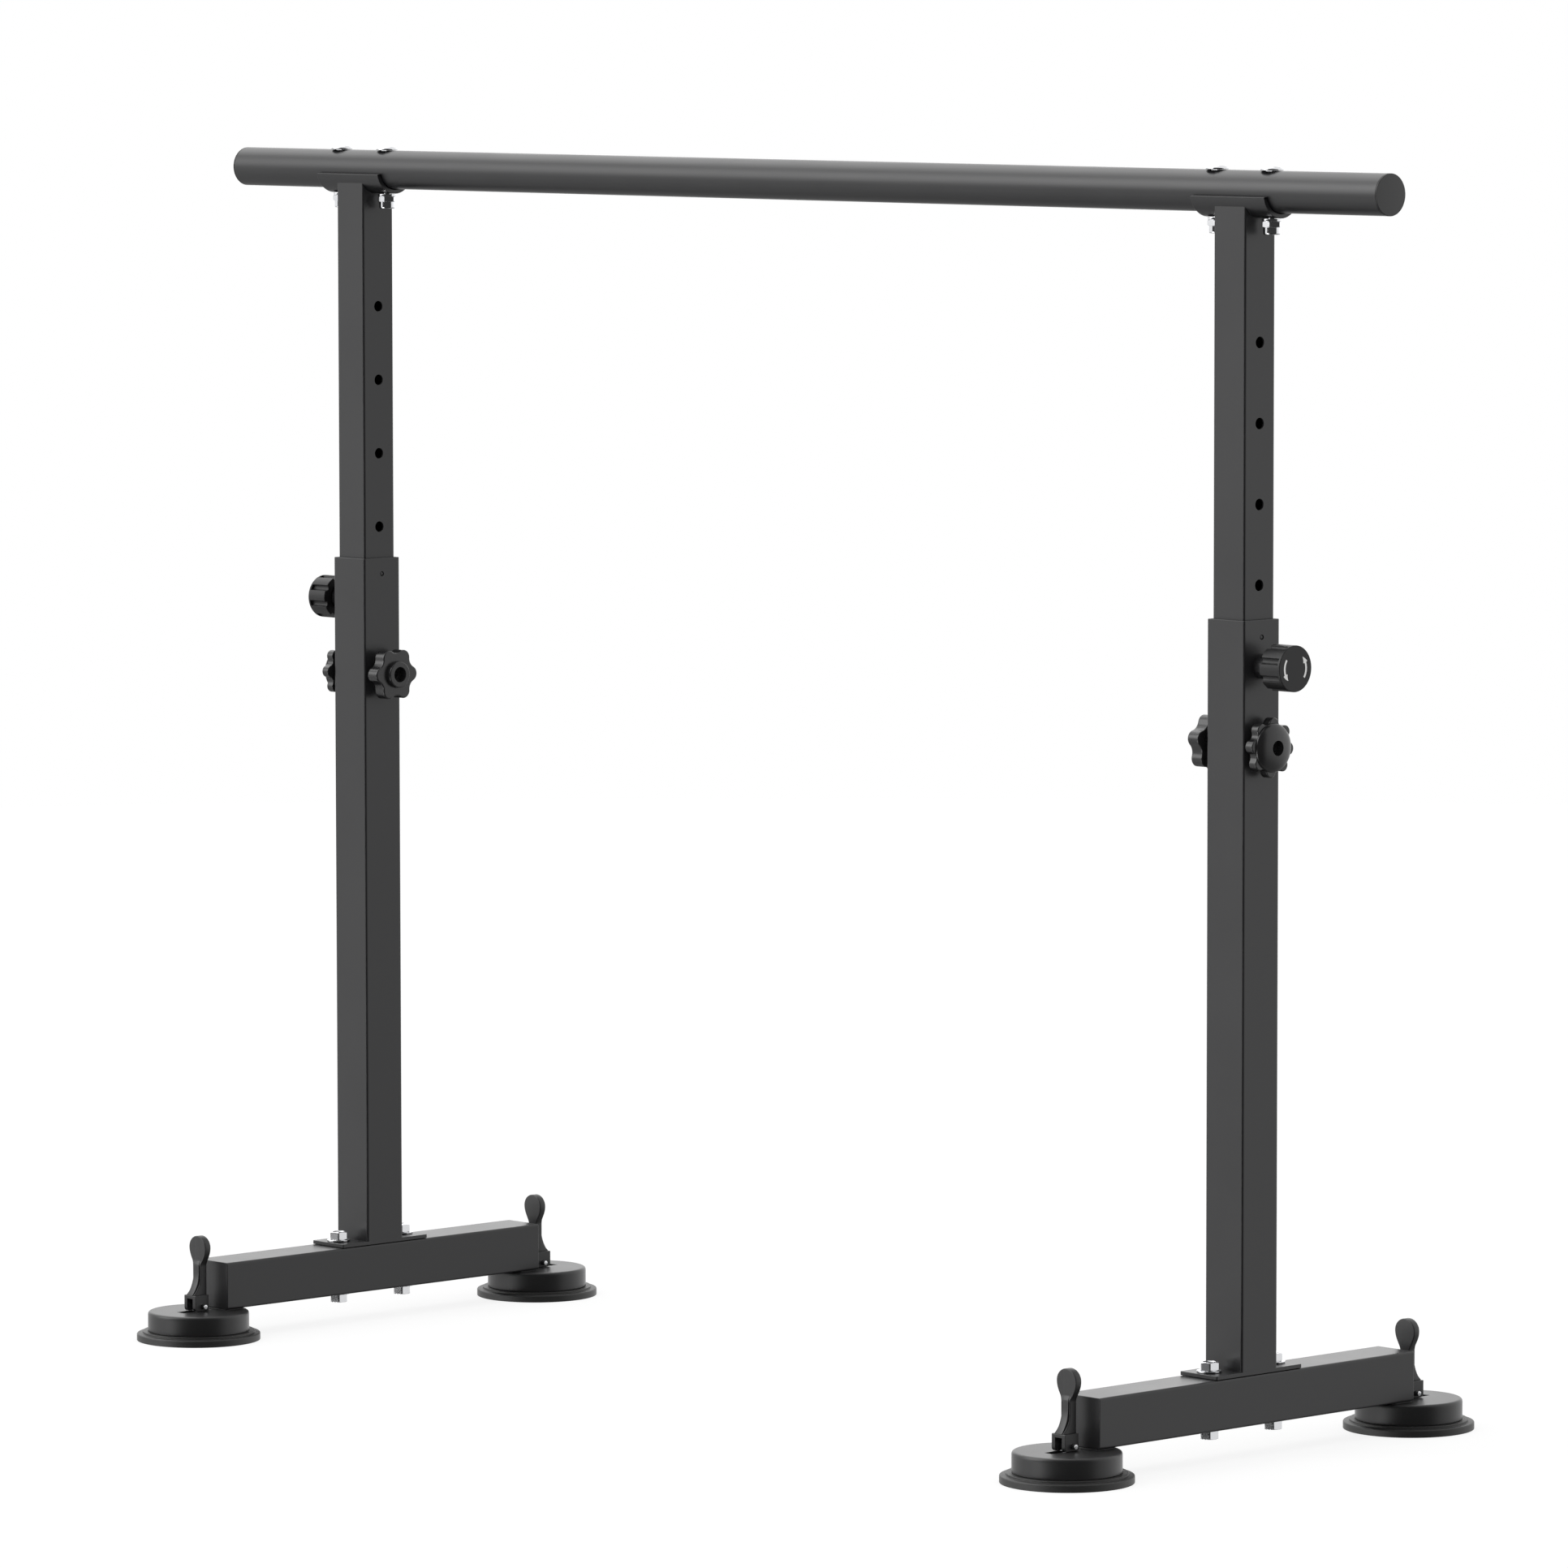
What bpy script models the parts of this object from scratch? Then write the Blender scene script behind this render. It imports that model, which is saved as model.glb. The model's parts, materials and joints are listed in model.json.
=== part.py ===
"""Free-standing ballet barre, adjustable in height. Metres, +Z up.

A handrail runs along X on two telescopic square posts. Each post is bolted to a base tube that runs
along Y and stands on two lever-locked suction feet. The origin is on the floor, midway between the posts.
"""

import math

import bmesh
import bpy
from mathutils import Matrix, Vector

# Clearances
GAP = 0.0003
WELD = 0.0005
MERGE = 0.000001
FLAT_ANGLE = 0.5
SHARP_ANGLE = 35

# Facets
RAIL_SIDES = 28
CUP_SIDES = 20
KNOB_SIDES = 20
RING_SIDES = 20
HUB_SIDES = 16
WASHER_SIDES = 12
BOLT_SIDES = 10
HOLE_SIDES = 8
CORNER_STEPS = 2
SADDLE_STEPS = 14
CROWN_STEPS = 3
LOBE_STEPS = 3
NECK_STEPS = 5
ROUND_STEPS = 6

# Square and round tube
POST_SPACING = 1.172
OUTER_TUBE = 0.045
INNER_TUBE = 0.038
TUBE_WALL = 0.0015
TUBE_CORNER = 0.002
RAIL_DIAMETER = 0.037
RAIL_LENGTH = 1.517
RAIL_WALL = 0.0015
CAP_THICKNESS = 0.0012
CAP_CROWN = 0.0003
CAP_PLUG_LENGTH = 0.018
CAP_PLUG_WALL = 0.002

# Suction foot, from the floor up
CUP_DIAMETER = 0.118
CUP_RIM_HEIGHT = 0.007
CUP_STEP_DIAMETER = 0.107
CUP_HEIGHT = 0.0088
CUP_LIP = 0.006
CUP_EDGE = 0.001
CUP_HOLLOW = 0.004
CUP_HUB_DIAMETER = 0.028
CUP_HUB_RISE = 0.0022
CUP_ARCH_SHARE = 0.75
COVER_DIAMETER = 0.0967
COVER_HEIGHT = 0.0185
COVER_WALL = 0.0025
COVER_FILLET = 0.003
SLOT_HALF_WIDTH = 0.0046
SLOT_OUTBOARD = 0.0229
SLOT_INBOARD = 0.012
SEAT_WIDTH = 0.040
SEAT_LENGTH = 0.022
SEAT_RISE = 0.0008
STUD_INBOARD = 0.0295
STUD_DIAMETER = 0.008
STUD_BOSS = 0.014
STUD_BOSS_DEPTH = 0.008
STUD_LENGTH = 0.012

# Stem and lever of a foot, measured from the axis of the lever pin
PIN_OUTBOARD = 0.001
PIN_ABOVE_COVER = 0.0045
PIN_DIAMETER = 0.0045
PIN_PROUD = 0.0041
STEM_WIDTH = 0.0076
STEM_ROUND = 0.0042
STEM_DISC = 0.026
STEM_DISC_THICKNESS = 0.0025
BLOCK_WIDTH = 0.0166
BLOCK_BELOW = 0.0042
BLOCK_ABOVE = 0.011
BLOCK_OUTBOARD = 0.0097
CAM_ROUND = 0.003
FORK_WIDTH = 0.0084
FORK_ABOVE = 0.0079
FORK_BACK = 0.0046
LEVER_BACK = 0.0068
LEVER_FACE = 0.0002
NECK_WIDTH = 0.0112
RIB_WIDTH = 0.0076
RIB_FACE = 0.0016
RIB_TOP = 0.044
RIB_SHOULDER = 0.005
RIB_FLARE_TOP = 0.034
RIB_FLARE_POWER = 2.2
SIDE_FACE = 0.0011
SIDE_FLARE_TOP = 0.026
SIDE_FLARE_POWER = 2.0
FLARE_BUNCHING = 1.5
GROOVE_WIDTH = 0.0009
GROOVE_DEPTH = 0.003
NECK_TOP = 0.039
HEAD_WIDE = 0.0564
HEAD_WIDTH = 0.024
HEAD_ABOVE_WIDE = 0.011
HEAD_FLANK_POWER = 0.75

# Base of a stand
BASE_LENGTH = 0.400
FOOT_BEYOND_END = 0.0175
BASE_END_PLATE = 0.002
PLATE_LENGTH = 0.108
PLATE_THICKNESS = 0.0035
BOLT_SPACING = 0.081
BOLT_DIAMETER = 0.010
BOLT_FLATS = 0.016
BOLT_HEAD = 0.0078
BOLT_WASHER = 0.022
BOLT_WASHER_THICKNESS = 0.002
NUT_HEIGHT = 0.0076
NUT_WASHER_THICKNESS = 0.0016
NUT_SINK = 0.0006

# Outer post, downwards from its top
OUTER_POST_HEIGHT = 0.6625
SNAP_DROP = 0.0152
SNAP_DIAMETER = 0.0046
PULL_DROP = 0.0407
HOLE_PITCH = 0.0708
SLEEVE_LENGTH = 0.060
SLEEVE_SINK = 0.0005

# Inner post, downwards from the axis of the rail
HOLE_COUNT = 6
HOLE_DIAMETER = 0.010
REST_HOLE = 4
TOP_HOLE_DROP = 0.1315
INNER_POST_DROP = 0.644

# Saddle and the bolts through the rail
SADDLE_LENGTH = 0.089
SADDLE_THICKNESS = 0.0042
SADDLE_HALF_ANGLE = 79
CARRIAGE_SPACING = 0.066
CARRIAGE_DIAMETER = 0.008
CARRIAGE_HEAD = 0.0214
CARRIAGE_HEAD_HEIGHT = 0.0045
CARRIAGE_EDGE = 0.0006
CARRIAGE_NECK = 0.003
LOCK_WASHER = 0.018
LOCK_WASHER_THICKNESS = 0.0022
LOCK_FLATS = 0.016
LOCK_HEX = 0.0053
LOCK_COLLAR = 0.0155
LOCK_COLLAR_HEIGHT = 0.0065

# Pull pin, outwards from the face of the outer post
PULL_PIN_DIAMETER = 0.0090
PULL_PIN_TAPER = 0.0015
PULL_COLLAR = 0.022
PULL_COLLAR_LENGTH = 0.0175
PULL_KNOB_DIAMETER = 0.041
PULL_KNOB_BACK = 0.0165
PULL_KNOB_LENGTH = 0.024
PULL_KNOB_RIM = 0.0023
PULL_KNOB_FLOOR = 0.004
PULL_KNOB_BORE = 0.0238
PULL_KNOB_EDGE = 0.0006
PULL_PIN_SINK = 0.0025
FLUTES = 8
FLUTE_RADIUS = 0.003
FLUTE_DEPTH = 0.0023

# Clamps, outwards from the face of the outer post
CLAMP_STUD = 0.008
CLAMP_BOSS = 0.015
CLAMP_BOSS_LENGTH = 0.0046
FLOWER_RADIUS = 0.0264
FLOWER_VALLEY = 0.0213
FLOWER_LOBE = 0.0058
FLOWER_LOBES = 8
FLOWER_BACK = 0.0053
FLOWER_FRONT = 0.0138
FLOWER_DOME = 0.0432
FLOWER_TOP = 0.0204
FLOWER_HOLE = 0.0135
DOME_ANGLES = (70, 45, 20, 0)
STAR_RADIUS = 0.025
STAR_VALLEY = 0.0182
STAR_LOBE = 0.0052
STAR_LOBES = 6
STAR_BACK = 0.0079
STAR_FRONT = 0.0212
STAR_HUB = 0.026
STAR_HUB_TOP = 0.026
STAR_BACK_HUB = 0.020
STAR_HOLE = 0.0145
KNOB_EDGE = 0.0012
RECESS_DEPTH = 0.008
CLAMP_STUD_PROUD = 0.002

# How far nuts and knobs stand turned in their resting places, in degrees
BASE_HEX_TURN = 20
PULL_TURN = {"left": 28, "right": 25}
FLOWER_TURN = {"left": 0, "right": -5}

# Heights and places worked out from the sizes above
FOOT_SPACING = BASE_LENGTH + 2 * FOOT_BEYOND_END
COVER_BOTTOM = CUP_HEIGHT + GAP
COVER_TOP = COVER_BOTTOM + COVER_HEIGHT
SEAT_TOP = COVER_TOP + SEAT_RISE
BASE_BOTTOM = SEAT_TOP + GAP
BASE_TOP = BASE_BOTTOM + OUTER_TUBE
PLATE_BOTTOM = BASE_TOP + GAP
PLATE_TOP = PLATE_BOTTOM + PLATE_THICKNESS
POST_TOP = PLATE_TOP + OUTER_POST_HEIGHT
PULL_HEIGHT = POST_TOP - PULL_DROP
CLAMP_HEIGHT = PULL_HEIGHT - HOLE_PITCH
RAIL_HEIGHT = PULL_HEIGHT + REST_HOLE * HOLE_PITCH + TOP_HOLE_DROP
POST_FACE = OUTER_TUBE / 2
PIN_HEIGHT = COVER_TOP + PIN_ABOVE_COVER


def finish_mesh(shape):
    """Turns a bmesh into a mesh whose faces all point out."""
    bmesh.ops.remove_doubles(shape, verts=shape.verts, dist=MERGE)
    bmesh.ops.recalc_face_normals(shape, faces=shape.faces)
    mesh = bpy.data.meshes.new("shape")
    shape.to_mesh(mesh)
    shape.free()
    return mesh


def arc(centre, radius, start, end, steps):
    """Points on an arc about centre, from start to end in degrees."""
    angles = [math.radians(start + (end - start) * step / steps) for step in range(steps + 1)]
    return [(centre[0] + radius * math.cos(a), centre[1] + radius * math.sin(a)) for a in angles]


def circle(radius, sides, centre=(0, 0)):
    return arc(centre, radius, 0, 360, sides)[:-1]


def hexagon(flats):
    return circle(flats / math.sqrt(3), 6)


def rectangle(left, right, low, high):
    return [(left, low), (right, low), (right, high), (left, high)]


def rounded_square(side, corner):
    """Outline of a square tube, with an arc at each corner."""
    half = side / 2 - corner
    points = []
    for quarter, (x, y) in enumerate(((half, half), (-half, half), (-half, -half), (half, -half))):
        points += arc((x, y), corner, quarter * 90, quarter * 90 + 90, CORNER_STEPS)
    return points


def lobes(count, radius, valley, round_off, steps):
    """Outline of a hand knob: round lobes out to radius, joined by hollows down to valley.

    The arc of each hollow touches its two neighbours smoothly, which gives its radius.
    """
    half_pitch = math.pi / count
    tip = radius - round_off
    reach = tip * math.cos(half_pitch)
    hollow = (tip**2 + valley**2 - 2 * valley * reach - round_off**2) / (2 * (round_off - valley + reach))
    centre = Vector((math.cos(half_pitch), math.sin(half_pitch))) * (valley + hollow)
    lean = math.degrees(math.atan2(centre.y, centre.x - tip))
    swing = lean - math.degrees(half_pitch)
    middle = 180 + math.degrees(half_pitch)
    lobe = arc((tip, 0), round_off, -lean, lean, steps)
    lobe += arc(centre, hollow, middle + swing, middle - swing, steps - 1)[1:-1]
    turns = [Matrix.Rotation(2 * half_pitch * place, 2) for place in range(count)]
    return [tuple(turn @ Vector(point)) for turn in turns for point in lobe]


def ring(shape, outline, height):
    return [shape.verts.new((x, y, height)) for x, y in outline]


def closed_edges(shape, verts):
    return [shape.edges.new(pair) for pair in zip(verts, verts[1:] + verts[:1])]


def prism(outline, bottom, top, hole=None):
    """Upright bar of the given outline, or a tube where hole gives the outline of its bore."""
    shape = bmesh.new()
    rim = ring(shape, outline, bottom)
    if hole is None:
        faces = [shape.faces.new(rim)]
    else:
        edges = closed_edges(shape, rim) + closed_edges(shape, ring(shape, hole, bottom))
        faces = bmesh.ops.bridge_loops(shape, edges=edges)["faces"]
    grown = bmesh.ops.extrude_face_region(shape, geom=faces)["geom"]
    lifted = [item for item in grown if isinstance(item, bmesh.types.BMVert)]
    bmesh.ops.translate(shape, verts=lifted, vec=(0, 0, top - bottom))
    return finish_mesh(shape)


def loft(rings):
    """Skin through outlines with the same number of points, each given with its height."""
    shape = bmesh.new()
    loops = [ring(shape, outline, height) for outline, height in rings]
    for low, high in zip(loops, loops[1:]):
        for here, after in zip(range(len(low)), list(range(1, len(low))) + [0]):
            shape.faces.new((low[here], low[after], high[after], high[here]))
    shape.faces.new(loops[0][::-1])
    shape.faces.new(loops[-1])
    return finish_mesh(shape)


def turned(profile, sides):
    """Shape turned about Z from (radius, height) points, whose ends meet on the axis or each other."""
    shape = bmesh.new()
    on_axis = profile[0][0] == 0
    verts = [shape.verts.new((radius, 0, height)) for radius, height in profile]
    edges = [shape.edges.new(pair) for pair in zip(verts, verts[1:])]
    if not on_axis:
        edges.append(shape.edges.new((verts[-1], verts[0])))
    bmesh.ops.spin(
        shape, geom=verts + edges, cent=(0, 0, 0), axis=(0, 0, 1), angle=2 * math.pi, steps=sides, use_merge=True
    )
    return finish_mesh(shape)


def rod(diameter, bottom, top, sides=BOLT_SIDES):
    return prism(circle(diameter / 2, sides), bottom, top)


def moved(mesh, *steps):
    """Copy of a mesh after the given matrices, the last one first."""
    copy = mesh.copy()
    for step in reversed(steps):
        copy.transform(step)
    return copy


def shift(x=0, y=0, z=0):
    return Matrix.Translation((x, y, z))


def spun(degrees, axis):
    return Matrix.Rotation(math.radians(degrees), 4, axis)


ALONG_X = spun(90, "Z") @ spun(90, "X")
ALONG_Y = spun(90, "X")


def combined(base, joins=(), cuts=(), common=()):
    """Base with the joins welded on, cut down to what it has in common with others, then the cuts taken out."""
    scene = bpy.context.scene.collection
    body = bpy.data.objects.new("blank", base)
    scene.objects.link(body)
    helpers = [body]
    for operation, meshes in (("UNION", joins), ("INTERSECT", common), ("DIFFERENCE", cuts)):
        for mesh in meshes:
            tool = bpy.data.objects.new("tool", mesh)
            scene.objects.link(tool)
            helpers.append(tool)
            step = body.modifiers.new(operation, "BOOLEAN")
            step.operation = operation
            step.object = tool
    bpy.context.view_layer.update()
    graph = bpy.context.evaluated_depsgraph_get()
    result = bpy.data.meshes.new_from_object(body.evaluated_get(graph))
    for helper in helpers:
        bpy.data.objects.remove(helper)
    shape = bmesh.new()
    shape.from_mesh(result)
    bmesh.ops.remove_doubles(shape, verts=shape.verts, dist=MERGE)
    bmesh.ops.dissolve_limit(shape, angle_limit=math.radians(FLAT_ANGLE), verts=shape.verts, edges=shape.edges)
    shape.to_mesh(result)
    shape.free()
    return result


def paint(name, colour, roughness, metallic=0.0):
    """Principled material of one finish."""
    material = bpy.data.materials.new(name)
    material.use_nodes = True
    shader = material.node_tree.nodes["Principled BSDF"]
    shader.inputs["Base Color"].default_value = (*colour, 1)
    shader.inputs["Roughness"].default_value = roughness
    shader.inputs["Metallic"].default_value = metallic
    return material


def empty(name, place=(0, 0, 0), turn=(0, 0, 0), parent=None):
    """Frame that carries other objects; turn is in degrees about X, Y and Z."""
    frame = bpy.data.objects.new(name, None)
    frame.location = place
    frame.rotation_euler = [math.radians(angle) for angle in turn]
    frame.parent = parent
    bpy.context.scene.collection.objects.link(frame)
    return frame


def add(name, mesh, material, parent, place=(0, 0, 0), turn=0):
    """Names a piece, finishes it and puts it on its parent, turned about Z in degrees."""
    if not mesh.materials:
        mesh.materials.append(material)
        mesh.shade_smooth()
        mesh.set_sharp_from_angle(angle=math.radians(SHARP_ANGLE))
    piece = bpy.data.objects.new(name, mesh)
    piece.location = place
    piece.rotation_euler = (0, 0, math.radians(turn))
    piece.parent = parent
    bpy.context.scene.collection.objects.link(piece)
    return piece


def handrail():
    """Round tube along X, with a square hole above and a round one below for each carriage bolt."""
    radius = RAIL_DIAMETER / 2
    tube = prism(circle(radius, RAIL_SIDES), -RAIL_LENGTH / 2, RAIL_LENGTH / 2, circle(radius - RAIL_WALL, RAIL_SIDES))
    half_neck = CARRIAGE_DIAMETER / 2 + GAP
    neck_hole = prism(rectangle(-half_neck, half_neck, -half_neck, half_neck), 0, RAIL_DIAMETER)
    shank_hole = rod(CARRIAGE_DIAMETER + 2 * GAP, -RAIL_DIAMETER, 0, WASHER_SIDES)
    places = [side * POST_SPACING / 2 + end * CARRIAGE_SPACING / 2 for side in (-1, 1) for end in (-1, 1)]
    cuts = [moved(hole, shift(x=x)) for x in places for hole in (neck_hole, shank_hole)]
    return combined(moved(tube, ALONG_X), cuts=cuts)


def rail_cap():
    """Moulded end cap, +Z outwards: a thin crowned disc on a hollow plug."""
    disc = RAIL_DIAMETER / 2
    plug = disc - RAIL_WALL - GAP
    edge = CAP_THICKNESS / 2
    return turned(
        [
            (0, GAP + CAP_THICKNESS + CAP_CROWN),
            (disc - edge, GAP + CAP_THICKNESS),
            (disc, GAP + CAP_THICKNESS - edge),
            (disc, GAP),
            (plug, GAP),
            (plug, -CAP_PLUG_LENGTH),
            (plug - CAP_PLUG_WALL, -CAP_PLUG_LENGTH),
            (0, 0),
        ],
        RAIL_SIDES,
    )


def inner_post():
    """Drilled square tube with its saddle, measured from the axis of the rail."""
    inside = INNER_TUBE - 2 * TUBE_WALL
    saddle_inner = RAIL_DIAMETER / 2 + GAP
    saddle_outer = saddle_inner + SADDLE_THICKNESS
    edge = -saddle_outer * math.cos(math.radians(SADDLE_HALF_ANGLE))
    tube = prism(
        rounded_square(INNER_TUBE, TUBE_CORNER),
        -INNER_POST_DROP,
        edge - WELD,
        rounded_square(inside, TUBE_CORNER - TUBE_WALL),
    )
    section = arc((0, 0), saddle_outer, -90 - SADDLE_HALF_ANGLE, -90 + SADDLE_HALF_ANGLE, SADDLE_STEPS)
    saddle = moved(prism(section, -SADDLE_LENGTH / 2, SADDLE_LENGTH / 2), ALONG_X)
    rail_room = moved(rod(2 * saddle_inner, -SADDLE_LENGTH, SADDLE_LENGTH, RAIL_SIDES), ALONG_X)
    shank = rod(CARRIAGE_DIAMETER + 2 * GAP, -RAIL_DIAMETER, 0, WASHER_SIDES)
    across = moved(rod(HOLE_DIAMETER, -INNER_TUBE, INNER_TUBE, HOLE_SIDES), ALONG_X)
    cuts = [moved(shank, shift(x=end * CARRIAGE_SPACING / 2)) for end in (-1, 1)]
    cuts += [moved(across, shift(z=-TOP_HOLE_DROP - HOLE_PITCH * hole)) for hole in range(HOLE_COUNT)]
    return combined(tube, joins=[saddle], cuts=[rail_room] + cuts)


def carriage_bolt():
    """Domed head on a square neck, measured from the axis of the rail."""
    seat = RAIL_DIAMETER / 2 + GAP
    radius = CARRIAGE_HEAD / 2
    rise = CARRIAGE_HEAD_HEIGHT - CARRIAGE_EDGE
    sphere = (radius**2 + rise**2) / (2 * rise)
    span = math.degrees(math.asin(radius / sphere))
    crown = seat + CARRIAGE_HEAD_HEIGHT - sphere
    dome = [(0, seat + CARRIAGE_HEAD_HEIGHT)] + arc((0, crown), sphere, 90, 90 - span, CROWN_STEPS)[1:]
    saddle_bottom = -(RAIL_DIAMETER / 2 + GAP + SADDLE_THICKNESS)
    end = saddle_bottom - GAP - LOCK_WASHER_THICKNESS - LOCK_HEX - LOCK_COLLAR_HEIGHT + NUT_SINK
    shank = CARRIAGE_DIAMETER / 2
    head = turned(dome + [(radius, seat), (shank, seat), (shank, end), (0, end)], WASHER_SIDES)
    neck = prism(rectangle(-shank, shank, -shank, shank), seat - GAP - CARRIAGE_NECK, seat + CARRIAGE_EDGE / 2)
    return combined(head, joins=[neck])


def lock_nut():
    """Washer, hexagon and round locking collar, hanging under the saddle, measured from the axis of the rail."""
    top = -(RAIL_DIAMETER / 2 + GAP + SADDLE_THICKNESS) - GAP
    washer_low = top - LOCK_WASHER_THICKNESS
    hex_low = washer_low - LOCK_HEX
    washer = rod(LOCK_WASHER, washer_low, top, WASHER_SIDES)
    hexagon_part = prism(hexagon(LOCK_FLATS), hex_low, washer_low + WELD)
    collar = rod(LOCK_COLLAR, hex_low - LOCK_COLLAR_HEIGHT, hex_low + WELD, WASHER_SIDES)
    bore = rod(CARRIAGE_DIAMETER + 2 * GAP, -2 * OUTER_TUBE, 0, WASHER_SIDES)
    return combined(washer, joins=[hexagon_part, collar], cuts=[bore])


def outer_post():
    """Square tube on its foot plate, with the collar of the pull pin and a boss for each clamp."""
    inside = OUTER_TUBE - 2 * TUBE_WALL
    tube = prism(
        rounded_square(OUTER_TUBE, TUBE_CORNER),
        PLATE_TOP - WELD,
        POST_TOP,
        rounded_square(inside, TUBE_CORNER - TUBE_WALL),
    )
    half, reach = OUTER_TUBE / 2, PLATE_LENGTH / 2
    plate = prism(rectangle(-half, half, -reach, reach), PLATE_BOTTOM, PLATE_TOP)
    root = POST_FACE - WELD
    collar = moved(rod(PULL_COLLAR, root, POST_FACE + PULL_COLLAR_LENGTH, WASHER_SIDES), shift(z=PULL_HEIGHT), ALONG_X)
    boss = moved(rod(CLAMP_BOSS, root, POST_FACE + CLAMP_BOSS_LENGTH), shift(z=CLAMP_HEIGHT), ALONG_X)
    across = 2 * OUTER_TUBE
    pull_bore = moved(rod(HOLE_DIAMETER, 0, across), shift(z=PULL_HEIGHT), ALONG_X)
    clamp_bore = moved(rod(CLAMP_STUD + 2 * GAP, -across, across), shift(z=CLAMP_HEIGHT), ALONG_X)
    snap_hole = moved(rod(SNAP_DIAMETER, -across, across, HOLE_SIDES), shift(z=POST_TOP - SNAP_DROP), ALONG_X)
    bolt_hole = rod(BOLT_DIAMETER + 2 * GAP, 0, BASE_TOP + OUTER_TUBE)
    bolts = [moved(bolt_hole, shift(y=side * BOLT_SPACING / 2)) for side in (-1, 1)]
    return combined(
        tube,
        joins=[plate, collar, boss, moved(boss, spun(180, "Z"))],
        cuts=[pull_bore, clamp_bore, snap_hole] + bolts,
    )


def guide_sleeve():
    """Plastic lining of the post's top, held by a snap button in each side."""
    outside = OUTER_TUBE - 2 * TUBE_WALL - 2 * GAP
    inside = INNER_TUBE + 2 * GAP
    top = POST_TOP - SLEEVE_SINK
    lining = prism(
        rounded_square(outside, TUBE_CORNER - TUBE_WALL),
        top - SLEEVE_LENGTH,
        top,
        rounded_square(inside, TUBE_CORNER),
    )
    button = rod(SNAP_DIAMETER - 2 * GAP, outside / 2 - WELD, POST_FACE - GAP, HOLE_SIDES)
    buttons = [moved(button, shift(z=POST_TOP - SNAP_DROP), spun(turn, "Z"), ALONG_X) for turn in (0, 180)]
    bore = moved(rod(HOLE_DIAMETER, 0, OUTER_TUBE, HOLE_SIDES), shift(z=PULL_HEIGHT), ALONG_X)
    return combined(lining, joins=buttons, cuts=[bore])


def base_tube():
    """Square tube along Y with closed ends, two studs for the feet below and two bolt holes through it."""
    middle = (BASE_BOTTOM + BASE_TOP) / 2
    half = BASE_LENGTH / 2
    tube = prism(rounded_square(OUTER_TUBE, TUBE_CORNER), -half, half)
    inside = rounded_square(OUTER_TUBE - 2 * TUBE_WALL, TUBE_CORNER - TUBE_WALL)
    hollow = prism(inside, BASE_END_PLATE - half, half - BASE_END_PLATE)
    stud = rod(STUD_DIAMETER, BASE_BOTTOM - STUD_LENGTH, BASE_BOTTOM + TUBE_WALL / 2)
    stud_at = FOOT_SPACING / 2 - STUD_INBOARD
    hole = rod(BOLT_DIAMETER + 2 * GAP, 0, 2 * BASE_TOP)
    studs = [moved(stud, shift(y=side * stud_at)) for side in (-1, 1)]
    holes = [moved(hole, shift(y=side * BOLT_SPACING / 2)) for side in (-1, 1)]
    level = shift(z=middle)
    return combined(moved(tube, level, ALONG_Y), joins=studs, cuts=[moved(hollow, level, ALONG_Y)] + holes)


def nut_top():
    return PLATE_TOP + GAP + NUT_WASHER_THICKNESS + NUT_HEIGHT


def base_bolt():
    """Hexagon bolt with its washer, put up through base tube and foot plate."""
    seat = BASE_BOTTOM - GAP
    washer_low = seat - BOLT_WASHER_THICKNESS
    shank = rod(BOLT_DIAMETER, washer_low, nut_top() - NUT_SINK, BOLT_SIDES)
    washer = rod(BOLT_WASHER, washer_low, seat, WASHER_SIDES)
    head = prism(hexagon(BOLT_FLATS), washer_low - BOLT_HEAD, washer_low + WELD)
    return combined(washer, joins=[shank, head])


def base_nut():
    """Hexagon nut with its washer, on the foot plate."""
    seat = PLATE_TOP + GAP
    washer = rod(BOLT_WASHER, seat, seat + NUT_WASHER_THICKNESS, WASHER_SIDES)
    nut = prism(hexagon(BOLT_FLATS), seat + NUT_WASHER_THICKNESS - WELD, nut_top())
    bore = rod(BOLT_DIAMETER + 2 * GAP, 0, 2 * nut_top(), BOLT_SIDES)
    return combined(washer, joins=[nut], cuts=[bore])


def pull_pin():
    """Locking pin, +Z outwards from the middle of the post, here drawn clear of the inner post."""
    radius = PULL_PIN_DIAMETER / 2
    tip = INNER_TUBE / 2 + GAP
    end = POST_FACE + PULL_KNOB_BACK + PULL_KNOB_LENGTH - PULL_PIN_SINK
    profile = [(0, end), (radius, end), (radius, tip + PULL_PIN_TAPER), (radius - PULL_PIN_TAPER, tip), (0, tip)]
    return turned(profile, BOLT_SIDES)


def pull_knob():
    """Fluted knob, +Z outwards, hollow behind so that it slides over the collar."""
    back = POST_FACE + PULL_KNOB_BACK
    face = back + PULL_KNOB_LENGTH
    floor = face - PULL_KNOB_FLOOR
    radius = PULL_KNOB_DIAMETER / 2
    bore = PULL_KNOB_BORE / 2
    pin = PULL_PIN_DIAMETER / 2 + GAP
    pin_end = face - PULL_PIN_SINK + GAP
    body = turned(
        [
            (0, face),
            (radius - PULL_KNOB_EDGE, face),
            (radius, face - PULL_KNOB_EDGE),
            (radius, back),
            (bore, back),
            (bore, floor),
            (pin, floor),
            (pin, pin_end),
            (0, pin_end),
        ],
        3 * FLUTES,
    )
    away = radius - FLUTE_DEPTH + FLUTE_RADIUS
    flute = prism(circle(FLUTE_RADIUS, BOLT_SIDES, (away, 0)), back - PULL_KNOB_RIM, face - PULL_KNOB_RIM)
    cuts = [moved(flute, spun(360 * place / FLUTES, "Z")) for place in range(FLUTES)]
    return combined(body, cuts=cuts)


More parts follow.
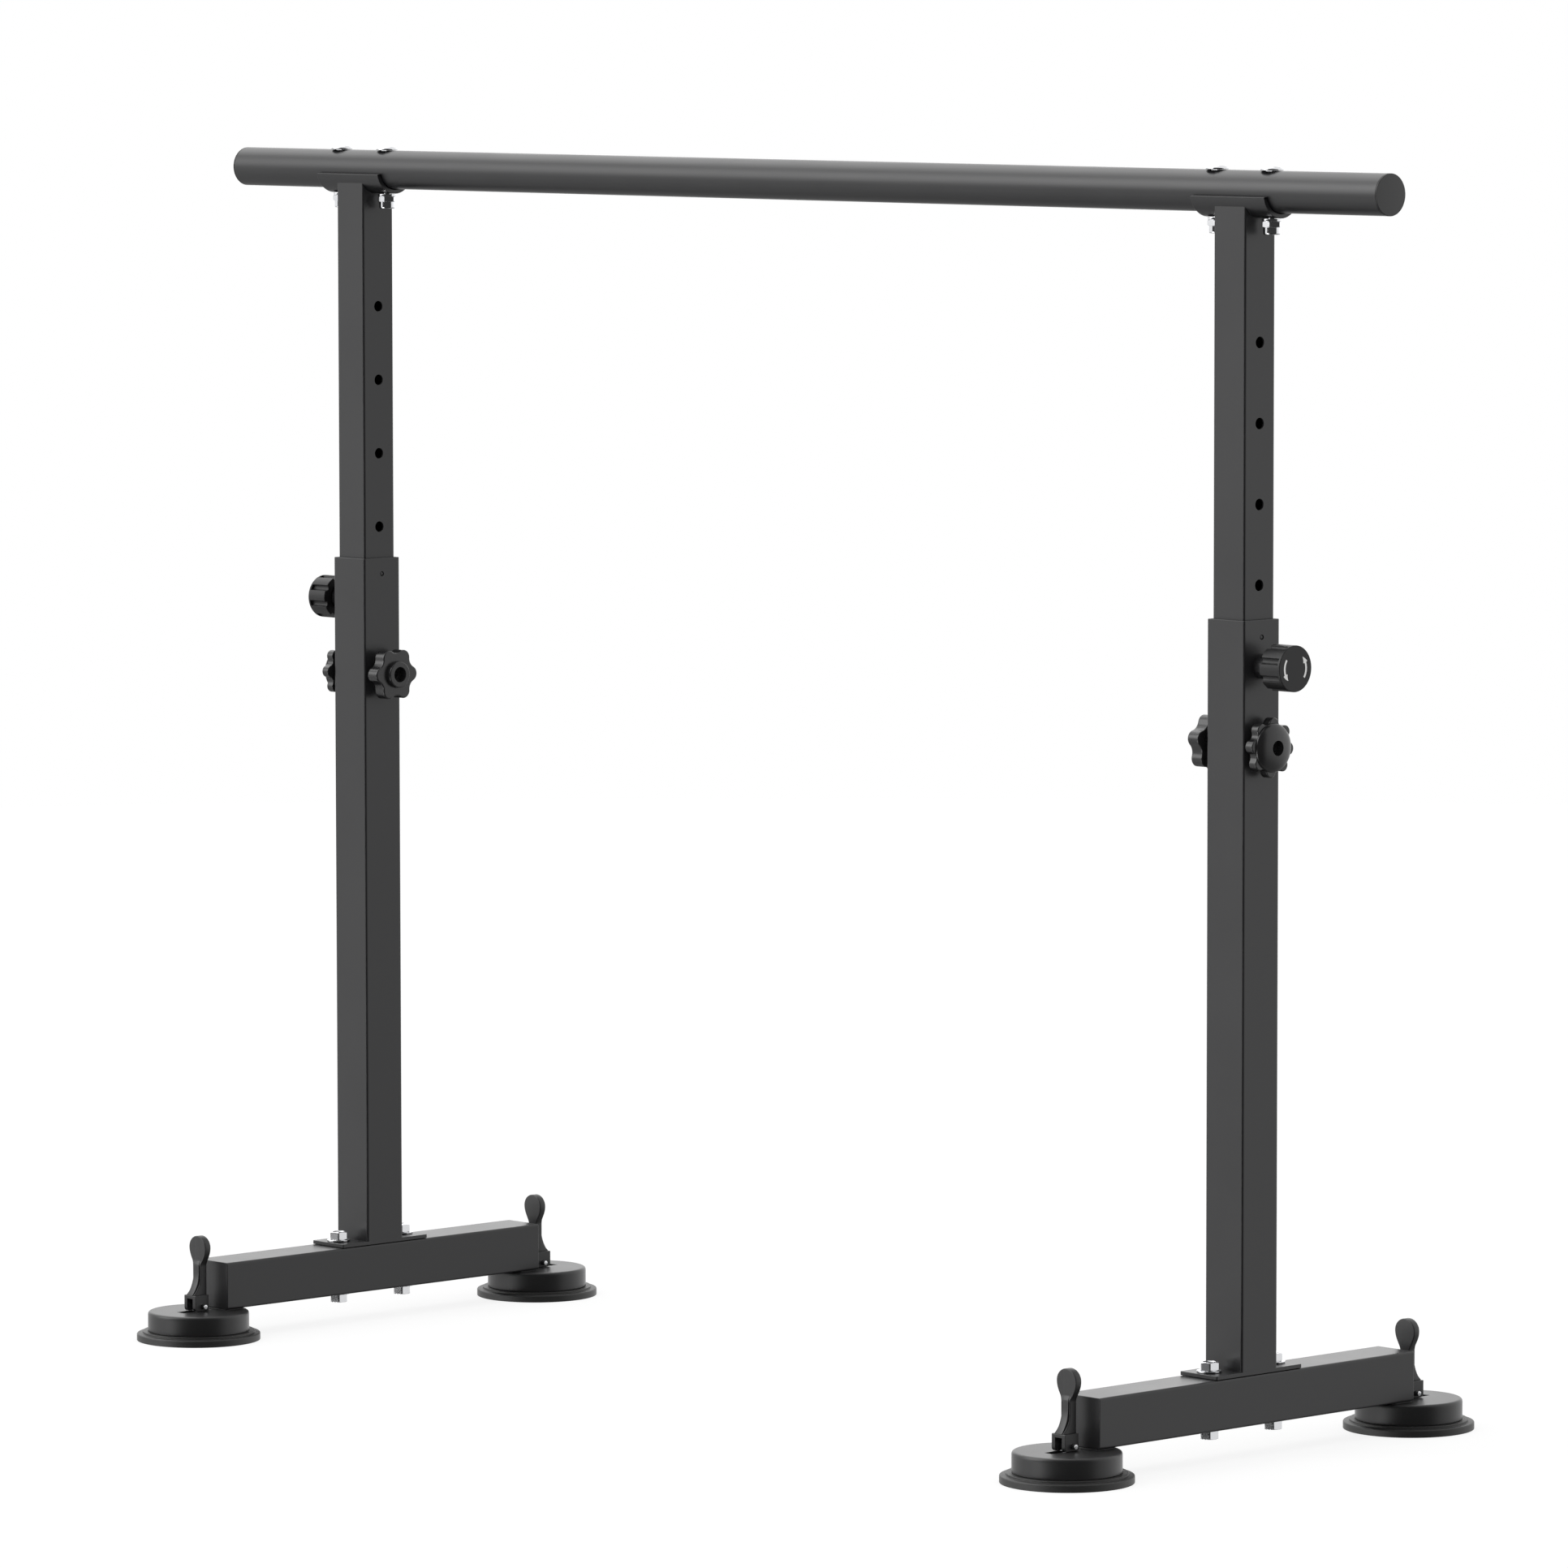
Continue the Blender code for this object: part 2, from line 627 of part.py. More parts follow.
def clamp_stud(knob_front):
    """Threaded stud, +Z outwards from the middle of the post, its tip just off the inner post."""
    end = POST_FACE + knob_front - RECESS_DEPTH + CLAMP_STUD_PROUD
    return rod(CLAMP_STUD, INNER_TUBE / 2 + GAP, end, BOLT_SIDES)


def lobed_body(count, radius, valley, round_off, back, front):
    """Lobed disc with its edges eased, +Z outwards."""
    rings = []
    levels = (back, 0), (front - KNOB_EDGE, 0), (front, KNOB_EDGE)
    for height, inset in levels:
        outline = lobes(count, radius - inset, valley - inset, round_off - inset, LOBE_STEPS)
        rings.append((outline, POST_FACE + height))
    return loft(rings)


def knob_bore(hole, front):
    """Cutter for the stud's bore and the round recess in front of it."""
    recess = POST_FACE + front - RECESS_DEPTH
    bore = CLAMP_STUD / 2 + GAP
    top = POST_FACE + 2 * front
    profile = [(0, top), (hole / 2, top), (hole / 2, recess), (bore, recess), (bore, 0), (0, 0)]
    return turned(profile, WASHER_SIDES)


def flower_knob():
    """Clamp knob with eight round lobes behind a smooth dome."""
    body = lobed_body(FLOWER_LOBES, FLOWER_RADIUS, FLOWER_VALLEY, FLOWER_LOBE, FLOWER_BACK, FLOWER_FRONT)
    low = POST_FACE + FLOWER_FRONT
    high = POST_FACE + FLOWER_TOP
    radius = FLOWER_DOME / 2
    rise = high - low
    curve = [(radius * math.cos(math.radians(a)), low + rise * math.sin(math.radians(a))) for a in DOME_ANGLES]
    dome = turned([(0, high)] + curve + [(radius, low - KNOB_EDGE), (0, low - KNOB_EDGE)], KNOB_SIDES)
    return combined(body, joins=[dome], cuts=[knob_bore(FLOWER_HOLE, FLOWER_TOP)])


def star_knob():
    """Clamp knob with six drawn-out lobes, a raised ring in front and a short hub behind."""
    body = lobed_body(STAR_LOBES, STAR_RADIUS, STAR_VALLEY, STAR_LOBE, STAR_BACK, STAR_FRONT)
    top = POST_FACE + STAR_HUB_TOP
    hub = STAR_HUB / 2
    low = POST_FACE + STAR_FRONT - KNOB_EDGE
    ring_part = turned([(0, top), (hub - KNOB_EDGE, top), (hub, top - KNOB_EDGE), (hub, low), (0, low)], RING_SIDES)
    behind = rod(STAR_BACK_HUB, POST_FACE + CLAMP_BOSS_LENGTH + GAP, POST_FACE + STAR_BACK + WELD, HUB_SIDES)
    return combined(body, joins=[ring_part, behind], cuts=[knob_bore(STAR_HOLE, STAR_HUB_TOP)])


def suction_cup():
    """Rubber cup: a hollow underside, a flange with a step and a hub under the stem."""
    rim, step, hub = CUP_DIAMETER / 2, CUP_STEP_DIAMETER / 2, CUP_HUB_DIAMETER / 2
    inner = rim - CUP_LIP
    arch = (inner / 2, CUP_HOLLOW * CUP_ARCH_SHARE)
    profile = [(0, CUP_HEIGHT + CUP_HUB_RISE), (hub, CUP_HEIGHT + CUP_HUB_RISE), (hub, CUP_HEIGHT)]
    profile += [(step, CUP_HEIGHT), (step, CUP_RIM_HEIGHT), (rim - CUP_EDGE, CUP_RIM_HEIGHT)]
    profile += [(rim, CUP_RIM_HEIGHT - CUP_EDGE), (rim, 0), (inner, 0), arch, (0, CUP_HOLLOW)]
    return turned(profile, CUP_SIDES)


def cup_cover():
    """Hollow cover of a foot, -Y outboard: slot for the lever, seat and boss for the base tube."""
    radius, top, ceiling = COVER_DIAMETER / 2, COVER_TOP, COVER_TOP - COVER_WALL
    fillet = arc((radius - COVER_FILLET, top - COVER_FILLET), COVER_FILLET, 90, 0, 2)
    inside = radius - COVER_WALL
    profile = [(0, top)] + fillet + [(radius, COVER_BOTTOM), (inside, COVER_BOTTOM), (inside, ceiling), (0, ceiling)]
    shell = turned(profile, CUP_SIDES)
    half = SEAT_WIDTH / 2
    seat = prism(rectangle(-half, half, FOOT_BEYOND_END, FOOT_BEYOND_END + SEAT_LENGTH), ceiling + WELD, SEAT_TOP)
    boss = moved(rod(STUD_BOSS, ceiling - STUD_BOSS_DEPTH, ceiling + WELD), shift(y=STUD_INBOARD))
    stud_hole = moved(rod(STUD_DIAMETER + 2 * GAP, 0, 2 * SEAT_TOP), shift(y=STUD_INBOARD))
    slot = prism(rectangle(-SLOT_HALF_WIDTH, SLOT_HALF_WIDTH, -SLOT_OUTBOARD, SLOT_INBOARD), 0, 2 * top)
    return combined(shell, joins=[seat, boss], cuts=[slot, stud_hole])


def cup_stem():
    """Flat stem with an eye for the lever pin, on a disc over the rubber, measured from the pin."""
    low = CUP_HEIGHT + CUP_HUB_RISE + GAP - PIN_HEIGHT
    outline = arc((0, 0), STEM_ROUND, 0, 180, ROUND_STEPS) + [(-STEM_ROUND, low + WELD), (STEM_ROUND, low + WELD)]
    blade = moved(prism(outline, -STEM_WIDTH / 2, STEM_WIDTH / 2), ALONG_X)
    disc = rod(STEM_DISC, low, low + STEM_DISC_THICKNESS, WASHER_SIDES)
    eye = moved(rod(PIN_DIAMETER + 2 * GAP, -STEM_WIDTH, STEM_WIDTH), ALONG_X)
    return combined(blade, joins=[moved(disc, shift(y=PIN_OUTBOARD))], cuts=[eye])


def side_piece(outline, width, near=None):
    """Extrudes an (outboard, height) outline across X, evenly about the middle plane or from near outwards."""
    start = -width / 2 if near is None else near
    flat = [(-outboard, height) for outboard, height in outline]
    return moved(prism(flat, start, start + width), ALONG_X)


def flare(start, face, flare_top, power):
    """Front edge of the neck, as (outboard, height): a hollow curve up from the block's top, from start to face."""
    points = []
    for step in range(NECK_STEPS + 1):
        along = 1 - (1 - step / NECK_STEPS) ** FLARE_BUNCHING
        height = BLOCK_ABOVE + (flare_top - BLOCK_ABOVE) * along
        points.append((face + (start - face) * (1 - along) ** power, height))
    return points


def lever_side():
    """Side outline of the lever: the block with its cam corner, the flared neck and the flat head."""
    centre = (BLOCK_OUTBOARD - CAM_ROUND, CAM_ROUND - BLOCK_BELOW)
    cam = arc(centre, CAM_ROUND, -90, 0, LOBE_STEPS)
    neck = flare(BLOCK_OUTBOARD, SIDE_FACE, SIDE_FLARE_TOP, SIDE_FLARE_POWER)
    top = HEAD_WIDE + 2 * HEAD_ABOVE_WIDE
    head = [(SIDE_FACE, RIB_TOP - RIB_SHOULDER), (LEVER_FACE, RIB_TOP), (LEVER_FACE, top), (-LEVER_BACK, top)]
    return [(-LEVER_BACK, -BLOCK_BELOW)] + cam + neck + head


def lever_front():
    """Front outline of the lever: the wide block, a waist, and a round paddle that it swells into."""
    neck, head, block = NECK_WIDTH / 2, HEAD_WIDTH / 2, BLOCK_WIDTH / 2
    flank = [(block, -2 * BLOCK_BELOW), (block, BLOCK_ABOVE), (neck, BLOCK_ABOVE)]
    for step in range(NECK_STEPS):
        along = step / NECK_STEPS
        swell = (1 - math.cos(math.pi * along**HEAD_FLANK_POWER)) / 2
        flank.append((neck + (head - neck) * swell, NECK_TOP + (HEAD_WIDE - NECK_TOP) * along))
    crown = [(x, HEAD_WIDE + y * HEAD_ABOVE_WIDE / head) for x, y in arc((0, 0), head, 0, 180, 2 * NECK_STEPS)]
    return flank + crown + [(-x, height) for x, height in reversed(flank)]


def lever():
    """Cam lever standing up, measured from its pin, -Y outboard: a fork, a ribbed neck and a flat head."""
    far = 2 * BLOCK_OUTBOARD
    front = moved(prism(lever_front(), -far, far), ALONG_Y)
    floor = SIDE_FACE - GROOVE_DEPTH
    trench = [(floor, BLOCK_ABOVE + GAP), (far, BLOCK_ABOVE + GAP), (far, NECK_TOP), (floor, NECK_TOP)]
    width = GROOVE_WIDTH + WELD
    grooves = [side_piece(trench, width, near) for near in (RIB_WIDTH / 2 - WELD, WELD - RIB_WIDTH / 2 - width)]
    body = combined(front, common=[side_piece(lever_side(), far)], cuts=grooves)
    deep = -LEVER_BACK / 2
    low = BLOCK_ABOVE - WELD
    edge = flare(BLOCK_OUTBOARD - WELD, RIB_FACE, RIB_FLARE_TOP, RIB_FLARE_POWER)
    end = [(RIB_FACE, RIB_TOP - RIB_SHOULDER), (LEVER_FACE - WELD, RIB_TOP + WELD), (deep, RIB_TOP + WELD)]
    rib = side_piece(edge + end + [(deep, low), (BLOCK_OUTBOARD - WELD, low)], RIB_WIDTH)
    fork = side_piece([(-FORK_BACK, -far), (far, -far), (far, FORK_ABOVE), (-FORK_BACK, FORK_ABOVE)], FORK_WIDTH)
    eye = moved(rod(PIN_DIAMETER + 2 * GAP, -BLOCK_WIDTH, BLOCK_WIDTH), ALONG_X)
    return combined(body, joins=[rib], cuts=[fork, eye])


def lever_pin():
    """Round pin across the fork, a little proud of the block on both sides."""
    reach = BLOCK_WIDTH / 2 + PIN_PROUD
    return moved(rod(PIN_DIAMETER, -reach, reach), ALONG_X)


def build_bar(steel, plastic, zinc):
    """Handrail, end caps, inner posts and the bolts between them."""
    bar = empty("bar", (0, 0, RAIL_HEIGHT))
    add("handrail", handrail(), steel, bar)
    cap, post, bolt, nut = rail_cap(), inner_post(), carriage_bolt(), lock_nut()
    for side, way in (("left", -1), ("right", 1)):
        end = empty(f"{side}_rail_end", (way * RAIL_LENGTH / 2, 0, 0), (90, 0, 90 * way), bar)
        add(f"{side}_rail_cap", cap, plastic, end)
        middle = way * POST_SPACING / 2
        add(f"{side}_inner_post", post, steel, bar, (middle, 0, 0))
        for place, out in (("inboard", -1), ("outboard", 1)):
            at = (middle + way * out * CARRIAGE_SPACING / 2, 0, 0)
            add(f"{side}_{place}_carriage_bolt", bolt, zinc, bar, at)
            add(f"{side}_{place}_lock_nut", nut, zinc, bar, at)


def build_stand(side, way, shapes, finishes):
    """Outer post, base tube, their bolts, the pull pin and the clamps of one side, +X outboard."""
    stand = empty(f"{side}_stand", (way * POST_SPACING / 2, 0, 0), (0, 0, 0 if way > 0 else 180))
    for piece, finish in (("outer_post", "steel"), ("base_tube", "steel"), ("guide_sleeve", "plastic")):
        add(f"{side}_{piece}", shapes[piece], finishes[finish], stand)
    for place, out in (("front", -1), ("rear", 1)):
        at = (0, way * out * BOLT_SPACING / 2, 0)
        add(f"{side}_{place}_base_bolt", shapes["base_bolt"], finishes["zinc"], stand, at, BASE_HEX_TURN)
        add(f"{side}_{place}_base_nut", shapes["base_nut"], finishes["zinc"], stand, at, BASE_HEX_TURN)
    pull = empty(f"{side}_pull_axis", (0, 0, PULL_HEIGHT), (90, 0, 90), stand)
    add(f"{side}_pull_pin", shapes["pull_pin"], finishes["zinc"], pull)
    add(f"{side}_pull_knob", shapes["pull_knob"], finishes["gloss"], pull, turn=PULL_TURN[side])
    for place, knob, face, turn in (("outboard", "flower", 90, FLOWER_TURN[side]), ("inboard", "star", -90, 0)):
        clamp = empty(f"{side}_{place}_clamp_axis", (0, 0, CLAMP_HEIGHT), (90, 0, face), stand)
        add(f"{side}_{place}_clamp_stud", shapes[f"{knob}_stud"], finishes["zinc"], clamp)
        add(f"{side}_{place}_clamp_knob", shapes[f"{knob}_knob"], finishes["gloss"], clamp, turn=turn)


def build_foot(name, place, turn, shapes, finishes):
    """Suction foot with its lever, -Y outboard before it is turned."""
    foot = empty(f"{name}_foot", place, (0, 0, turn))
    add(f"{name}_suction_cup", shapes["suction_cup"], finishes["rubber"], foot)
    add(f"{name}_cup_cover", shapes["cup_cover"], finishes["plastic"], foot)
    pivot = empty(f"{name}_lever_axis", (0, -PIN_OUTBOARD, PIN_HEIGHT), parent=foot)
    add(f"{name}_cup_stem", shapes["cup_stem"], finishes["zinc"], pivot)
    add(f"{name}_lever", shapes["lever"], finishes["plastic"], pivot)
    add(f"{name}_lever_pin", shapes["lever_pin"], finishes["zinc"], pivot)


def main():
    for item in list(bpy.data.objects):
        bpy.data.objects.remove(item)
    finishes = {
        "steel": paint("painted_steel", (0.055, 0.055, 0.056), 0.45),
        "plastic": paint("moulded_plastic", (0.040, 0.040, 0.041), 0.5),
        "gloss": paint("knob_plastic", (0.030, 0.030, 0.031), 0.3),
        "rubber": paint("cup_rubber", (0.035, 0.035, 0.035), 0.65),
        "zinc": paint("bright_zinc", (0.72, 0.72, 0.73), 0.22, 1.0),
    }
    shapes = {
        "outer_post": outer_post(),
        "base_tube": base_tube(),
        "guide_sleeve": guide_sleeve(),
        "base_bolt": base_bolt(),
        "base_nut": base_nut(),
        "pull_pin": pull_pin(),
        "pull_knob": pull_knob(),
        "flower_stud": clamp_stud(FLOWER_TOP),
        "star_stud": clamp_stud(STAR_HUB_TOP),
        "flower_knob": flower_knob(),
        "star_knob": star_knob(),
        "suction_cup": suction_cup(),
        "cup_cover": cup_cover(),
        "cup_stem": cup_stem(),
        "lever": lever(),
        "lever_pin": lever_pin(),
    }
    build_bar(finishes["steel"], finishes["plastic"], finishes["zinc"])
    for side, way in (("left", -1), ("right", 1)):
        build_stand(side, way, shapes, finishes)
        for end, out in (("front", -1), ("rear", 1)):
            place = (way * POST_SPACING / 2, out * FOOT_SPACING / 2, 0)
            build_foot(f"{side}_{end}", place, 0 if out < 0 else 180, shapes, finishes)


main()
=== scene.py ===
"""Free-standing ballet barre, dressed for its studio picture. Metres, +Z up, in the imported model's frame."""

import json
import math

import bmesh
import bpy
import numpy as np
from mathutils import Matrix, Vector

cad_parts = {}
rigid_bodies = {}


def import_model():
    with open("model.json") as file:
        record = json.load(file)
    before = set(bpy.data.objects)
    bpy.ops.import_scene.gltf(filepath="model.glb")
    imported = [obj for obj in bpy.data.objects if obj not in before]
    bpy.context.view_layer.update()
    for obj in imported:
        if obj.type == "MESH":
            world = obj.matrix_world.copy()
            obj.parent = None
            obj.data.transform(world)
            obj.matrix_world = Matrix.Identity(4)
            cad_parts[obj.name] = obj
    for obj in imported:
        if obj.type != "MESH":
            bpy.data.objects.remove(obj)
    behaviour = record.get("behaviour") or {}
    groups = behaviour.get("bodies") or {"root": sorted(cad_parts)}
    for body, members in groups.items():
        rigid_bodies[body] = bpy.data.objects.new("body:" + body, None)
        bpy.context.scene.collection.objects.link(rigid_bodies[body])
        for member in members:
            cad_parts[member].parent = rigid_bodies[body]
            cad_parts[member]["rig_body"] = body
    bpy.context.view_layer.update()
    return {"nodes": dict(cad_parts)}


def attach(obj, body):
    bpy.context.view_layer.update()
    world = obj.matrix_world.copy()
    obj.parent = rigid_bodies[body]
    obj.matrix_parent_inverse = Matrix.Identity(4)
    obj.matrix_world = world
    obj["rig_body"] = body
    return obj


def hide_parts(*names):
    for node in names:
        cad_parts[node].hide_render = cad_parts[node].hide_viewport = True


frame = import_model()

# Tubes
POST_SPACING = 1.172
OUTER_TUBE = 0.045
INNER_TUBE = 0.038
WALL = 0.0015
TUBE_CORNER = 0.0021
TUBE_END = 0.0004
RAIL_RADIUS = 0.0185
RAIL_LENGTH = 1.517
RAIL_HEIGHT = 1.1140
GAP = 0.0003
WELD = 0.0005

# Heights of a stand
COVER_BOTTOM = 0.0091
COVER_TOP = 0.0276
BASE_BOTTOM = 0.0287
BASE_TOP = 0.0737
PLATE_BOTTOM = 0.0740
PLATE_TOP = 0.0775
POST_TOP = 0.7400
SNAP_HEIGHT = 0.7248
PULL_HEIGHT = 0.6993
CLAMP_HEIGHT = 0.6285
BASE_LENGTH = 0.400
PLATE_LENGTH = 0.108
FOOT_SPACING = 0.435
BOLT_SPACING = 0.081
POST_FACE = OUTER_TUBE / 2

# Bar, from the axis of the rail
POST_DROP = 0.644
POST_STRAIGHT = -0.05
FIRST_HOLE_DROP = 0.1315
HOLE_PITCH = 0.0708
HOLE_COUNT = 6
HOLE_RADIUS = 0.005
SADDLE_INSIDE = RAIL_RADIUS + GAP
SADDLE_OUTSIDE = 0.0230
SADDLE_LENGTH = 0.089
SADDLE_HALF_ANGLE = math.radians(79)
CARRIAGE_SPACING = 0.066
CARRIAGE_NECK = 0.008
LOCK_WASHER = 0.0022
LOCK_HEXAGON = 0.0053
LOCK_COLLAR = 0.0065

# Studs, bolts and nuts
STUD_RADIUS = 0.004
STUD_HOLE = STUD_RADIUS + GAP
STUD_PITCH = 0.00125
BOLT_RADIUS = 0.005
BOLT_PITCH = 0.0015
BOLT_HEAD = 0.0078
BOLT_WASHER = 0.002
NUT_HEIGHT = 0.0076
NUT_WASHER = 0.0016
NUT_MOUTH = 0.0005
WASHER_RADIUS = 0.011
WASHER_EDGE = 0.0003
HEX_FLATS = 0.016
HEX_CHAMFER = math.radians(30)
THREAD_DEPTH = 0.54

# Foot
CUP_RADIUS = 0.059
COVER_RADIUS = 0.04835
COVER_WALL = 0.0025
FOOT_STUD_OFFSET = 0.0295
LEVER_PIN_OUT = 0.001
LEVER_PIN_HEIGHT = 0.0321
LEVER_PIN_RADIUS = 0.00225
EYE_RADIUS = LEVER_PIN_RADIUS + GAP
SLOT_HALF_WIDTH = 0.0046
SLOT_OUTBOARD = 0.0229
SLOT_INBOARD = 0.012
BLOCK_HALF_WIDTH = 0.0083
BLOCK_LOW = -0.0042
BLOCK_TOP = 0.011
BLOCK_FRONT = 0.0097
LEVER_BACK = -0.0068

# Knobs, outwards from the face of the post
PULL_RADIUS = 0.0205
PULL_BACK = 0.0165
PULL_FACE = 0.0405
PULL_RIM = 0.0023
PIN_RADIUS = 0.0045
FLUTES = 8
FLUTE_RADIUS = 0.003
FLUTE_DEPTH = 0.0028
FLOWER_STUD_END = 0.0085
STAR_STUD_END = 0.0120
PULL_TURN = {"left": 28, "right": 25}
FLOWER_TURN = {"left": 0, "right": -5}
STAR_TURN = {"left": 0, "right": 15}
BASE_HEX_TURN = 20

# Camera: where the photograph was taken from
EYE = (6.3192, -5.9809, 1.3309)
VIEW = (-0.72342, 0.68470, -0.08858)
VIEW_AZIMUTH = math.radians(46.575)
VIEW_ROLL = math.radians(-0.070)
LENS = 217.31

# What reflections see of the studio: direction in degrees (from +X, above the horizon), the cosines at which
# a patch starts and is full, and how much light it adds or, for the dark side, takes away
KEY_PATCH = (240, 26, 0.87, 0.965, 3.6)
LOW_PATCH = (254, -26, 0.95, 0.985, 5.0)
RIGHT_PATCH = (85, 2, 0.68, 0.95, 0.30)
TOP_PATCH = (170, 52, 0.87, 0.99, 1.7)
BACK_PATCH = (137, 6, 0.82, 0.985, 0.8)
DARK_SIDE = (308, 0, 0.30, 0.44, 0.96)

# Below the horizon the studio falls, between two heights of the ray, to a level that grows towards LOW_SIDE
LOW_SIDE = (225, 0, 0.1, 0.8)
LOW_LEVELS = (0.30, 0.70)
HORIZON = (-0.42, -0.10)
STUDIO_LEVEL = 1.05
EVEN_LEVEL = 0.85

# Fineness of surfaces, reach of cutters, and pairs
STEPS = 8
SIDES = 96
HOLD = 1.3
MERGE = 1e-7
CUT = 0.06
MICRON = 1e-6
SHARP = math.radians(32)
STANDS = (("left", -1), ("right", 1))
ENDS = (("front", -1), ("rear", 1))


def eased(corners, cuts, closed=False, steps=STEPS):
    """Polyline with rounded corners.

    Each corner C gives way to the parabola (1-t)^2 B + 2t(1-t) C + t^2 P, where B and P lie a cut away from
    it on its two sides. One more point a little further out on each side keeps the flats flat when shaded.
    """
    corners = np.array(corners, float)
    cuts = np.broadcast_to(np.array(cuts, float), len(corners))[:, None]
    back = np.roll(corners, 1, axis=0) - corners
    ahead = np.roll(corners, -1, axis=0) - corners
    back = back / np.linalg.norm(back, axis=1, keepdims=True)
    ahead = ahead / np.linalg.norm(ahead, axis=1, keepdims=True)
    t = np.linspace(0, 1, steps + 1)[None, :, None]
    before, past = corners + back * cuts, corners + ahead * cuts
    curve = (1 - t) ** 2 * before[:, None] + 2 * t * (1 - t) * corners[:, None] + t**2 * past[:, None]
    hold = HOLD * cuts
    first, last = corners + back * hold, corners + ahead * hold
    points = np.concatenate((first[:, None], curve, last[:, None]), axis=1)
    if not closed:
        points[0], points[-1] = corners[0], corners[-1]
    return points.reshape(-1, corners.shape[1])


def round_arc(radius, start, end, steps, centre=(0, 0)):
    """Points at equal angles, in degrees, on a circle about centre."""
    angle = np.radians(np.linspace(start, end, steps + 1))
    return np.stack((centre[0] + radius * np.cos(angle), centre[1] + radius * np.sin(angle)), axis=1)


def normals_of(outline):
    """Unit normals of a counter-clockwise outline, square to the line between each point's neighbours."""
    along = np.roll(outline, -1, axis=0) - np.roll(outline, 1, axis=0)
    along = along / np.linalg.norm(along, axis=1, keepdims=True)
    return np.stack((along[:, 1], -along[:, 0]), axis=1)


def shell(points, round_rows=False):
    """Closed mesh on a grid of points (row, column, xyz) whose columns run round.

    The rows run round as well, or the first and the last one are closed by a flat face or a pole.
    """
    rows, columns = points.shape[:2]
    row = np.arange(rows if round_rows else rows - 1)[:, None]
    column = np.arange(columns)[None, :]
    here, above, beside = row * columns, (row + 1) % rows * columns, (column + 1) % columns
    corners = (here + column, here + beside, above + beside, above + column)
    faces = np.stack(np.broadcast_arrays(*corners), axis=-1).reshape(-1, 4).tolist()
    if not round_rows:
        faces.append(list(range(columns))[::-1])
        faces.append(list(range((rows - 1) * columns, rows * columns)))
    mesh = bpy.data.meshes.new("shell")
    mesh.from_pydata(points.reshape(-1, 3).tolist(), [], faces)
    shape = bmesh.new()
    shape.from_mesh(mesh)
    bmesh.ops.remove_doubles(shape, verts=shape.verts, dist=MERGE)
    bmesh.ops.dissolve_degenerate(shape, dist=MERGE, edges=shape.edges)
    bmesh.ops.recalc_face_normals(shape, faces=shape.faces)
    shape.to_mesh(mesh)
    shape.free()
    return mesh


def all_round(sides):
    """One row of equal angles round a full circle."""
    return np.linspace(0, 2 * np.pi, sides, endpoint=False)[None, :]


def around(radius, angle, height):
    """Grid of points (r cos a, r sin a, h), from rows and columns that are spread over each other."""
    return np.stack(np.broadcast_arrays(radius * np.cos(angle), radius * np.sin(angle), height), axis=-1)


def turned(profile, sides=SIDES, round_rows=False):
    """Surface of revolution about Z: (r cos a, r sin a, h) for every (r, h) of the profile."""
    profile = np.array(profile, float)
    return shell(around(profile[:, :1], all_round(sides), profile[:, 1:2]), round_rows)


def rod(radius, low, high, sides=32):
    """Plain cylinder along Z, also used as a cutter."""
    return turned([(0, low), (radius, low), (radius, high), (0, high)], sides)


def ring(inner, outer, start, end, cuts, steps=4, sides=SIDES):
    """Ring about Z, eased by cuts: inside and outside at its start, then outside and inside at its end."""
    corners = [(inner, start), (outer, start), (outer, end), (inner, end)]
    return turned(eased(corners, cuts, closed=True, steps=steps), sides, round_rows=True)


def stacked(rings, round_rows=False):
    """Skin over outlines with equal numbers of points, each with one height or a height for every point."""
    points = [np.column_stack((outline, np.broadcast_to(height, len(outline)))) for outline, height in rings]
    return shell(np.stack(points), round_rows)


def lofted(outline, levels):
    """Bar of one outline: at each (inset, height) level it is moved in along its normals."""
    normals = normals_of(outline)
    return stacked([(outline - inset * normals, height) for inset, height in levels])


def rectangle(left, right, low, high, corner):
    return eased([(right, high), (left, high), (left, low), (right, low)], corner, closed=True)


def square(side, corner):
    return rectangle(-side / 2, side / 2, -side / 2, side / 2, corner)


def slab(outline, low, high, edge):
    """Bar of the given outline with both ends eased."""
    flat = HOLD * edge
    levels = eased([(flat, low), (0, low), (0, high), (flat, high)], (0, edge, edge, 0), steps=4)
    return lofted(outline, levels)


def tube_outlines(side):
    """Outlines of a square tube: outside, outside where its cut ends are eased, and inside."""
    outer = square(side, TUBE_CORNER)
    return outer, outer - TUBE_END * normals_of(outer), square(side - 2 * WALL, TUBE_CORNER - WALL / 2)


def together(*meshes):
    """One mesh of several closed shells."""
    shape = bmesh.new()
    for mesh in meshes:
        shape.from_mesh(mesh)
    whole = bpy.data.meshes.new("whole")
    shape.to_mesh(whole)
    shape.free()
    return whole


def moved(mesh, *steps):
    """Copy of a mesh after the given matrices, the last one first."""
    copy = mesh.copy()
    for step in reversed(steps):
        copy.transform(step)
    return copy


def shift(x=0.0, y=0.0, z=0.0):
    return Matrix.Translation((x, y, z))


def spun(degrees, axis):
    return Matrix.Rotation(math.radians(degrees), 4, axis)


TO_Y = spun(90, "X")
TO_X = spun(90, "Z") @ TO_Y


